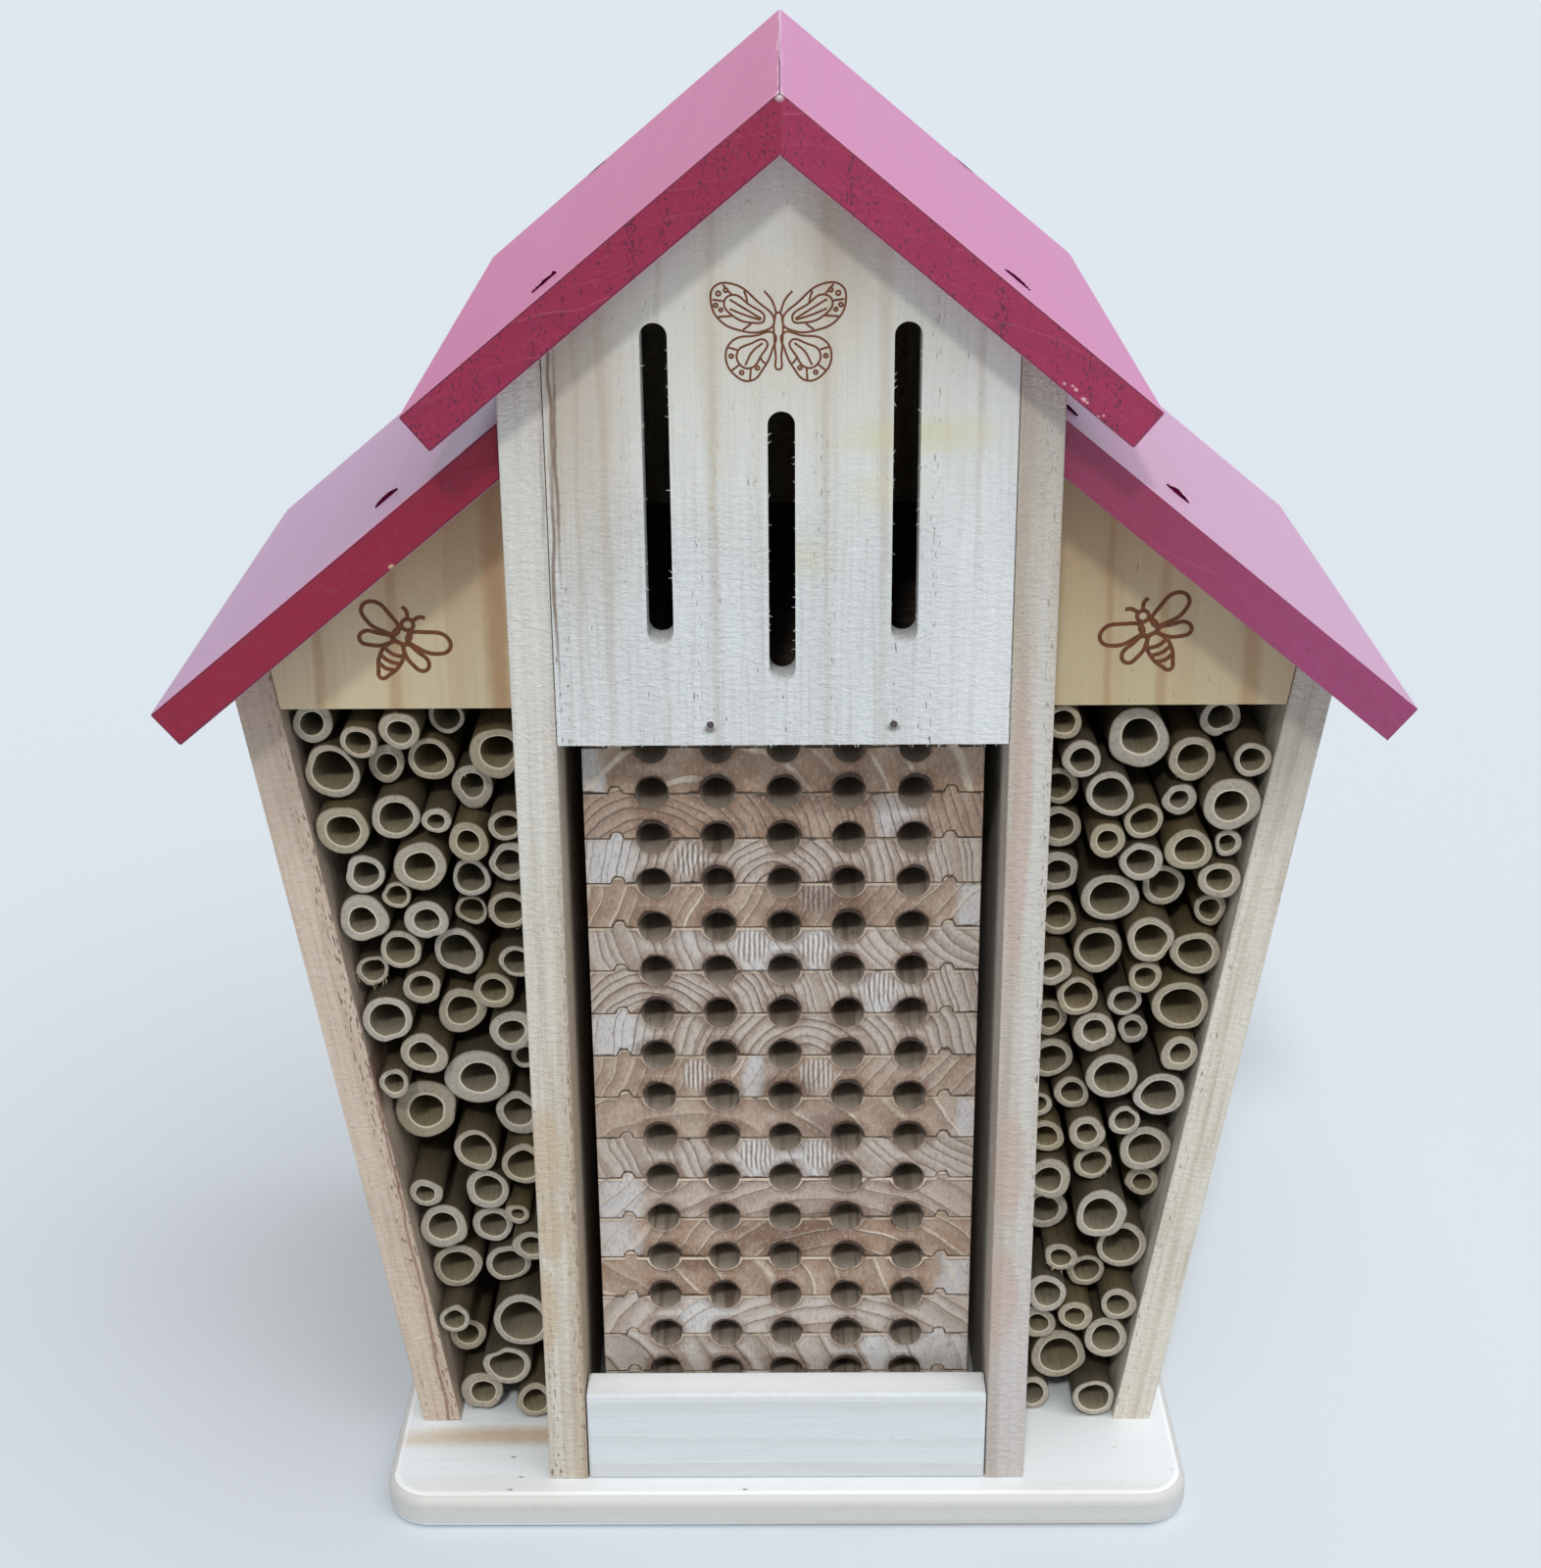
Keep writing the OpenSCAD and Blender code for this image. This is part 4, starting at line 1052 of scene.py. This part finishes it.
# %% [markdown]
# ## What cane looks like
# The cut wall is grey-tan and dull, built of fibre bundles that show as fine dots, with a paler
# ring where the soft lining meets the hollow. The skin outside has weathered to olive brown and
# runs in long streaks. Inside, the hollow darkens to umber. The three surfaces are three
# finishes on one piece, each shifted a little by the cane's own tone.

# %% Make the cane finishes
def cane_finish(name, pale, dark, fleck, coats=(), rough=0.7, length=1.0, fine=1.5):
    """A cane surface between two hex shades. Coats are (wall from, wall to, share, hex) bands."""
    finish, tree, shader = new_finish(name)
    place = add(tree, "Mapping", inputs={
        "Vector": add(tree, "TexCoord", output="Object"), "Scale": (1000, 1000 / length, 1000)})
    fibres = add(tree, "TexNoise", inputs={
        "Vector": place, "Scale": fine, "Detail": 4.0, "Roughness": 0.65})
    cloud = add(tree, "TexNoise", inputs={"Vector": place, "Scale": 0.22, "Detail": 2.0})
    tone = add(tree, "Attribute", {"attribute_name": "tone"}, output="Fac")
    wall = add(tree, "Attribute", {"attribute_name": "wall"}, output="Fac")
    share = add(tree, "Math", MULTIPLY_ADD, {0: cloud, 1: 0.8, 2: tone})
    share = add(tree, "MapRange", inputs={"Value": share, "From Min": 0.3, "From Max": 1.4})
    flecks = add(tree, "MapRange", SMOOTH, {
        "Value": fibres, "From Min": 0.48, "From Max": 0.7, "To Max": 0.5})
    colour = painted(tree, pale, [(share, dark), (flecks, fleck)])
    for start, end, strength, shade in coats:
        band = add(tree, "MapRange", SMOOTH, {
            "Value": wall, "From Min": start, "From Max": end, "To Max": strength})
        colour = painted(tree, colour, [(band, shade)])
    tree.links.new(colour, shader.inputs["Base Color"])
    shader.inputs["Roughness"].default_value = rough
    tree.links.new(add(tree, "Bump", inputs={
        "Strength": 0.5, "Distance": 0.25 * MM, "Height": fibres}), shader.inputs["Normal"])
    return finish


cane_finishes = [
    cane_finish("weathered_bamboo_skin", "#453F34", "#62563B", "#241E17", rough=0.6, length=14),
    cane_finish("sawn_bamboo_wall", "#B0A99F", "#A1967F", "#6B6256", [
        # The last band pales the outermost rim of each cut, which is a painted highlight
        (0.76, 0.9, 0.75, "#DAD2BC"), (0.2, 0.06, 0.55, "#6C6253"), (0.05, 0.0, 0.6, "#CFC9BC")],
        fine=1.3),
    cane_finish("bamboo_hollow", "#8D8674", "#94876A", "#574F3F", length=10)]
print("cane finishes:", [f.name for f in cane_finishes])

# %% [markdown]
# ## Packing the wings
# One piece holds the canes of one layer, as in the model. A small helper joins one bmesh to
# another by way of a mesh, which carries the wall and tone values along.

# %% Lay the canes
def add_to(bm, part):
    """Puts one bmesh into another, with its layers, and frees it."""
    carrier = bpy.data.meshes.new("carrier")
    part.to_mesh(carrier)
    part.free()
    bm.from_mesh(carrier)
    bpy.data.meshes.remove(carrier)


rng = random.Random(7)
for node in cane_nodes:
    bundle = bmesh.new()
    bundle.verts.layers.float.new("wall")
    bundle.verts.layers.float.new("tone")
    for cane in canes_of[node]:
        add_to(bundle, cut_cane(cane, rng))
    finished_piece(bundle, node + "_cut", "house", cane_finishes, [node])
print("cane bundles:", len(cane_nodes))

# %% [markdown]
# ## Drawings burnt into the pine
# A butterfly marks the chamber it belongs to, and a bee each wing of canes. They were burnt
# with a hot tool, which leaves a brown line with soft edges. Here they are plain drawings of
# the two insects. A line is a flat curve with a thin round section, made a mesh, pressed almost
# flat and let into the surface so that only a film of it shows.

# %% Draw with a burning tool
burnt_pine, burnt_tree, burnt_shader = new_finish("burnt_pine")
burnt_place = add(burnt_tree, "VectorMath", MULTIPLY, {
    0: add(burnt_tree, "TexCoord", output="Object"), 1: TO_MILLIMETRES})
rested = add(burnt_tree, "TexNoise", inputs={"Vector": burnt_place, "Scale": 0.7, "Detail": 3.0})
charred = painted(burnt_tree, "#3A1A0A", [(rested, "#8A5230")])
burnt_tree.links.new(charred, burnt_shader.inputs["Base Color"])
burnt_shader.inputs["Roughness"].default_value = 0.8
LINE_THICKNESS = 0.16


def burnt_drawing(name, lines, centre, tilt, width):
    """Presses lines of (closed, points) in mm into a front face at a centre, turned by a tilt."""
    curve = bpy.data.curves.new(name, "CURVE")
    curve.dimensions = "3D"
    curve.bevel_depth = width / 2 * MM
    curve.bevel_resolution = 1
    curve.resolution_u = 6
    for closed, points in lines:
        spline = curve.splines.new("BEZIER")
        spline.bezier_points.add(len(points) - 1)
        spline.use_cyclic_u = closed
        for knot, (x, z) in zip(spline.bezier_points, points):
            knot.co = Vector((x, 0, z)) * MM
            knot.handle_left_type = knot.handle_right_type = "AUTO"
    drawn = bpy.data.objects.new(name + "_line", curve)
    bpy.context.scene.collection.objects.link(drawn)
    bpy.context.view_layer.update()
    depsgraph = bpy.context.evaluated_depsgraph_get()
    mesh = bpy.data.meshes.new_from_object(drawn.evaluated_get(depsgraph))
    bpy.data.objects.remove(drawn)
    flatten = Matrix.Diagonal((1, LINE_THICKNESS / width, 1, 1))
    mesh.transform(Matrix.Translation(Vector(centre) * MM) @ Matrix.Rotation(tilt, 4, "Y") @ flatten)
    bm = bmesh.new()
    bm.from_mesh(mesh)
    bpy.data.meshes.remove(mesh)
    bmesh.ops.remove_doubles(bm, verts=bm.verts[:], dist=0.001 * MM)
    finished_piece(bm, name, "house", [burnt_pine])


def mirrored(points):
    """The same line on the other half of the figure."""
    return [(-x, z) for x, z in points]


def small_ring(x, z, radius):
    """A ring drawn through four points."""
    return [(x + radius, z), (x, z + radius), (x - radius, z), (x, z - radius)]


print("a burnt line stands", LINE_THICKNESS / 2, "mm proud")

# %% Burn the butterfly
FORE_WING = [(0.9, 1.6), (4.5, 6.2), (9.6, 9.9), (13.6, 9.4), (14.4, 6.0), (12.6, 2.2),
             (8.4, 0.0), (3.2, -0.2)]
FORE_CELL = [(3.0, 2.2), (6.4, 5.6), (9.8, 7.6), (11.6, 6.0), (9.6, 3.0), (5.6, 1.6)]
HIND_WING = [(0.9, -0.8), (5.0, -1.2), (9.8, -2.2), (11.4, -5.6), (9.4, -9.8), (6.0, -11.0),
             (3.2, -8.2), (1.4, -4.4)]
HIND_CELL = [(2.6, -2.4), (6.2, -3.0), (8.8, -4.6), (8.4, -7.4), (6.0, -8.2), (3.8, -5.6)]
FEELER = [(0.4, 3.6), (1.4, 6.4), (3.0, 8.4)]
TORSO = [(0, 3.8), (0.9, 1.8), (0.9, -1.4), (0.6, -5.4), (0, -8.6), (-0.6, -5.4), (-0.9, -1.4),
         (-0.9, 1.8)]
VEINS = [[(3.6, 2.4), (6.8, 4.4), (10.4, 6.6)], [(3.8, 2.2), (7.0, 3.2), (10.4, 4.6)],
         [(3.4, -2.8), (5.6, -4.6), (7.2, -7.6)], [(11.4, 6.2), (12.6, 6.4), (14.1, 6.6)],
         [(9.8, 3.1), (11.2, 3.0), (12.9, 2.9)], [(9.9, 7.6), (10.8, 8.6), (11.8, 9.8)],
         [(5.6, 1.7), (6.6, 0.8), (7.6, 0.1)], [(6.6, 5.7), (6.8, 7.0), (7.3, 8.4)],
         [(8.6, -4.4), (9.8, -4.0), (11.0, -3.7)], [(8.4, -7.4), (9.4, -8.2), (10.2, -8.8)],
         [(6.0, -8.2), (6.1, -9.4), (6.2, -10.9)], [(4.0, -5.8), (3.4, -6.8), (2.7, -7.4)]]
EDGE_SPOTS = [(11.2, 8.6, 0.42), (12.8, 7.9, 0.45), (13.4, 5.4, 0.4), (12.3, 4.4, 0.35),
              (10.2, -5.6, 0.4), (8.0, -9.2, 0.4), (4.6, -8.2, 0.4)]
butterfly_lines = [(True, TORSO)]
# The right half takes the points as they are, the left half takes them mirrored
HALVES = (list, mirrored)
for half in HALVES:
    butterfly_lines += [(True, half(line)) for line in (FORE_WING, FORE_CELL, HIND_WING, HIND_CELL)]
    butterfly_lines += [(False, half(line)) for line in [FEELER] + VEINS]
    butterfly_lines += [(True, half(small_ring(*spot))) for spot in EDGE_SPOTS]
burnt_drawing("butterfly_drawing", butterfly_lines, (-0.5, HOUSE_FRONT, 312.8), 0.0, 0.54)
print("butterfly lines:", len(butterfly_lines))

# %% [markdown]
# The bees use the same tool with a thicker tip, seen from above with their wings spread, and
# lean outwards the way the roofs do.

# %% Burn the two bees
BEE_WING = [(1.2, 3.0), (5.0, 6.4), (9.6, 7.4), (11.4, 5.0), (9.0, 2.4), (4.6, 1.8)]
BEE_HIND_WING = [(1.6, 1.0), (5.2, 0.8), (8.6, -0.6), (8.4, -2.8), (5.2, -2.6), (2.4, -0.8)]
BEE_BACK = [(0, 1.0), (2.3, -1.2), (2.6, -4.2), (1.6, -7.2), (0, -9.2), (-1.6, -7.2),
            (-2.6, -4.2), (-2.3, -1.2)]
BEE_CHEST = [(0, 4.6), (1.7, 3.9), (2.0, 2.4), (1.2, 1.1), (0, 0.8), (-1.2, 1.1), (-2.0, 2.4),
             (-1.7, 3.9)]
BEE_FEELER = [(0.6, 7.2), (1.6, 8.8), (3.0, 9.4)]
bee_lines = [(True, BEE_BACK), (True, BEE_CHEST), (True, small_ring(0, 5.9, 1.4))]
bee_lines += [(False, [(-w, z), (0, z - 0.5), (w, z)])
              for w, z in ((2.4, -1.9), (2.6, -3.9), (2.1, -5.9))]
for half in HALVES:
    bee_lines += [(True, half(BEE_WING)), (True, half(BEE_HIND_WING)), (False, half(BEE_FEELER))]
BEE_LEAN = math.radians(28)
burnt_drawing("bee_drawing_left", bee_lines, (-91.2, WING_FRONT, 233.0), BEE_LEAN, 1.15)
burnt_drawing("bee_drawing_right", bee_lines, (87.6, WING_FRONT, 234.2), -BEE_LEAN, 1.15)
print("bee lines:", len(bee_lines))

# %% [markdown]
# ## Torn fibres
# Cross-cut pine keeps a few hairs of torn wood at its edges: along the lower edge of the panel,
# round the slots, on the uprights and at the mouths of a few canes. Each is a thin three-sided
# spike, bent a little. Hundreds of hairs would only blur, so they are few and stand where the
# eye meets an edge.

# %% Make splinters
def splinter(bm, root, way, length, width, curl, rng):
    """Adds a bent spike of wood from a root in mm, pointing a way."""
    spike = bmesh.new()
    bmesh.ops.create_cone(spike, cap_ends=True, cap_tris=False, segments=3, radius1=width / 2 * MM,
                          radius2=width / 8 * MM, depth=length * MM,
                          matrix=Matrix.Translation((0, 0, length / 2 * MM)))
    long_edges = [e for e in spike.edges if abs(e.verts[0].co.z - e.verts[1].co.z) > length / 2 * MM]
    bmesh.ops.subdivide_edges(spike, edges=long_edges, cuts=2, use_grid_fill=True)
    bow = Vector((rng.uniform(-1, 1), rng.uniform(-1, 1), 0)) * curl * MM
    for vertex in spike.verts:
        share = vertex.co.z / (length * MM)
        vertex.co += bow * share * share
    turn = Vector((0, 0, 1)).rotation_difference(Vector(way)).to_matrix().to_4x4()
    place = Matrix.Translation(Vector(root) * MM) @ turn
    bmesh.ops.transform(spike, matrix=place, verts=spike.verts[:])
    add_to(bm, spike)


print("a splinter is", 3 * 3 + 2, "faces")

# %% Fray the panel and the uprights
PANEL_EDGE, PANEL_HALF = 217.0, 51.5
# Middle, foot and top of each slot, and half its width, in mm
SLOTS = [(-27.5, 241.5, 314.5), (0, 232.5, 295.0), (27.5, 241.5, 314.5)]
SLOT_HALF = 3.05
rng = random.Random(19)
hairs = bmesh.new()
for _ in range(80):
    root = (rng.uniform(-PANEL_HALF, PANEL_HALF), HOUSE_FRONT + rng.uniform(0.1, 1.2),
            PANEL_EDGE + 0.2)
    splinter(hairs, root, (rng.uniform(-0.8, 0.8), rng.uniform(-0.5, 0.2), -1),
             rng.uniform(0.4, 1.3), 0.34, 0.4, rng)
for x, low, high in SLOTS:
    for _ in range(26):
        side = rng.choice((-1, 1))
        root = (x + side * SLOT_HALF, HOUSE_FRONT + rng.uniform(0.1, 0.6),
                rng.uniform(low + 4, high - 3))
        splinter(hairs, root, (-side, rng.uniform(-0.6, 0.3), rng.uniform(-1.4, 1.4)),
                 rng.uniform(0.4, 1.2), 0.22, 0.3, rng)
finished_piece(hairs, "panel_torn_fibres", "house", [panel_pine])

SPLINTERS = [(-56.9, 38), (-58.5, 30), (-60, 26), (-55, 66), (-58, 96), (-57.5, 97),
             (-59.5, 96.5), (52.4, 268), (52.2, 236), (60, 118), (57.5, 190), (53, 205)]
upright_hairs = bmesh.new()
for x, z in SPLINTERS:
    way = (rng.uniform(-1, 1), -0.35, rng.uniform(-0.2, 1))
    splinter(upright_hairs, (x, HOUSE_FRONT + 0.05, z), way, rng.uniform(1.2, 3.4), 0.35, 0.8, rng)
finished_piece(upright_hairs, "upright_splinters", "house", [sill_pine])
print("torn fibres stand on the panel and the uprights")

# %% [markdown]
# A few canes were cut with a blunt saw and keep a beard of yellowish fibres round the mouth.

# %% Fray some canes
beard_pine = cane_finish("frayed_bamboo_fibre", "#CDBE95", "#BBA677", "#9C8A62", length=3)
beards = bmesh.new()
all_canes = sorted(cane for canes in canes_of.values() for cane in canes)
frayed_canes = all_canes[4::11]
for (x, z), radius, bore, mouth, _ in frayed_canes:
    for _ in range(14):
        angle = rng.uniform(0, math.tau)
        reach = rng.uniform(bore + 0.3 * MM, radius - 0.4 * MM)
        root = (x + reach * math.cos(angle), mouth + 0.3 * MM, z + reach * math.sin(angle))
        splinter(beards, Vector(root) / MM, (rng.uniform(-0.7, 0.7), -0.8, rng.uniform(-0.9, 0.5)),
                 rng.uniform(0.6, 1.5), 0.25, 0.5, rng)
finished_piece(beards, "cane_frayed_fibres", "house", [beard_pine])
print("frayed canes:", len(frayed_canes))

# %% [markdown]
# ## Steel pins
# The staples and brads are plain wire, darkened by the stain that ran over them. A metal keeps
# the default IOR, with all its colour in the reflection, and the roughness of drawn wire.

# %% Dress the pins
steel_wire, wire_tree, wire_shader = new_finish("drawn_steel_wire")
wire_place = add(wire_tree, "VectorMath", MULTIPLY, {
    0: add(wire_tree, "TexCoord", output="Object"), 1: TO_MILLIMETRES})
tarnish = add(wire_tree, "TexNoise", inputs={"Vector": wire_place, "Scale": 1.2, "Detail": 3.0})
wire_colour = painted(wire_tree, "#3A2F36", [(tarnish, "#7A6E74")])
wire_tree.links.new(wire_colour, wire_shader.inputs["Base Color"])
wire_shader.inputs["Metallic"].default_value = 1.0
wire_tree.links.new(add(wire_tree, "MapRange", inputs={
    "Value": tarnish, "To Min": 0.35, "To Max": 0.6}), wire_shader.inputs["Roughness"])
for node in ("roof_staples", "panel_brads"):
    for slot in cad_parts[node].material_slots:
        slot.material = steel_wire
print("pins dressed")

# %% [markdown]
# The staple gun drove each staple below the surface and tore the wood over it, which left a slit
# along the slope. Its dark inside is painted shade on a thin disc laid on the surface. Where the
# gun met the board hardest, the torn rear edge of the slit stands up by a millimetre. One more dark
# sliver lies in the corner between the right side roof and upright. A slit starts as a flat disc
# that is pulled out along the slope and pinched at its two ends.

# %% Tear the wood over the staples
# This dark finish is painted shade in the slits, and the dark of the torn fibres and the corner sliver
torn_wood_and_slit_shade = pine(
    "slit_shade_and_torn_pine", DEPTH_GRAIN, (0, 0, 0), body="#4C0828", late="#33051A", fibre="#2A0614",
    dash="#1C040E", fuzz=0.0, rough=0.9, ior=1.05)
SLIT_HALF, SLIT_HALF_WIDTH, SLIT_THICKNESS = 3.7, 2.0, 0.12
HIGH_LIP, LOW_LIP, NO_LIP = 0.9, 0.45, 0.0
CORNER = (64.3, -58.6, 290.6)
UPRIGHT_SIDE = 62


def lip_height(side, surface):
    """How far the rear edge of a slit stands up, in mm, from its side and its place."""
    at_front = surface.y < 0
    if abs(surface.x) > UPRIGHT_SIDE and (at_front or side > 0):
        return HIGH_LIP
    return LOW_LIP if at_front else NO_LIP


slit_shade_and_tears = bmesh.new()
for side, surface in STAPLES:
    lip = lip_height(side, surface)
    out = out_of_roof(side)
    down = Vector((side * math.cos(SLOPE), 0, -math.sin(SLOPE)))
    slit = bmesh.new()
    bmesh.ops.create_cone(slit, cap_ends=True, cap_tris=False, segments=20, radius1=1.0,
                          radius2=0.8, depth=SLIT_THICKNESS)
    for vertex in slit.verts:
        u, v, w = vertex.co
        pinch = (1 - 0.8 * abs(u)) * rng.uniform(0.7, 1.2)
        raised = lip * max(0.0, v) * rng.uniform(0.6, 1.0)
        across = Vector((0, SLIT_HALF_WIDTH * v * pinch, 0))
        vertex.co = (surface + down * SLIT_HALF * u + across + out * (w + 0.02 + raised)) * MM
    add_to(slit_shade_and_tears, slit)
    for i in range(14 if lip else 0):
        along = (i - 6.5) * 0.5 + rng.uniform(-0.2, 0.2)
        root = surface + down * along + Vector((0, rng.uniform(-0.35, 0.35), 0))
        way = out + down * rng.uniform(-0.8, 0.8) + Vector((0, rng.uniform(-0.6, 0.2), 0))
        splinter(slit_shade_and_tears, root, way, rng.uniform(0.3, 0.8), 0.6, 0.3, rng)
splinter(slit_shade_and_tears, CORNER, (math.cos(SLOPE), 0, -math.sin(SLOPE)), 3.7, 1.5, 0.3, rng)
finished_piece(slit_shade_and_tears, "stapled_slit_shade_and_tears", "house", [torn_wood_and_slit_shade])
print("slits over the staples are", 2 * SLIT_HALF, "mm long")

# %% [markdown]
# ## Floor and light
# The house stands on a plain pale floor wide enough to fill the view. One lamp high in front,
# a little to the left, gives the soft-edged shadows that the roofs cast on the panels: they
# fall as far down as the roof reaches forward, so it stands at 45 degrees. A wide ceiling light
# stands almost overhead and brightens whatever faces up. The rest is even light from all round.
# Where the eye, a gloss or glass meets that surround it is white, so that the satin varnish has
# something pale to reflect.

# %% Lay the floor
floor_finish, _, floor_shader = new_finish("plain_pale_floor")
floor_shader.inputs["Base Color"].default_value = linear("#D3DAE0")
floor_shader.inputs["Roughness"].default_value = 0.9
FLOOR_HALF = 12.0
floor_bm = bmesh.new()
bmesh.ops.create_grid(floor_bm, x_segments=1, y_segments=1, size=FLOOR_HALF)
floor_mesh = bpy.data.meshes.new("floor")
floor_bm.to_mesh(floor_mesh)
floor_bm.free()
floor_mesh.materials.append(floor_finish)
floor = bpy.data.objects.new("floor", floor_mesh)
bpy.context.scene.collection.objects.link(floor)
print("the floor is", 2 * FLOOR_HALF, "m wide")

# %% Light the house
# Name, way to the lamp, how wide it looks in degrees, energy and tint of each lamp
LAMPS = [("front_lamp", (-0.13, -1.0, 1.0), 6, 1.05, (1.0, 0.985, 0.96)),
         ("ceiling_light", (0.35, -0.25, 1.0), 70, 1.85, (0.98, 0.985, 1.0))]
for name, direction, angle, energy, tint in LAMPS:
    lamp_data = bpy.data.lights.new(name, "SUN")
    lamp_data.energy = energy
    lamp_data.angle = math.radians(angle)
    lamp_data.color = tint
    lamp = bpy.data.objects.new(name, lamp_data)
    lamp.rotation_euler = Vector(direction).to_track_quat("Z", "Y").to_euler()
    bpy.context.scene.collection.objects.link(lamp)

world = bpy.data.worlds.new("pale_room")
world.use_nodes = True
bpy.context.scene.world = world
room = world.node_tree.nodes["Background"]
room.inputs["Color"].default_value = (0.92, 0.96, 1.0, 1.0)
rays = add(world.node_tree, "LightPath").node
seen = add(world.node_tree, "Math", {"operation": "MAXIMUM"}, {
    0: rays.outputs["Is Camera Ray"], 1: rays.outputs["Is Glossy Ray"]})
seen = add(world.node_tree, "Math", {"operation": "MAXIMUM"}, {
    0: seen, 1: rays.outputs["Is Transmission Ray"]})
world.node_tree.links.new(add(world.node_tree, "MapRange", inputs={
    "Value": seen, "To Min": 0.36, "To Max": 1.0}), room.inputs["Strength"])
print("lamps and room light set")
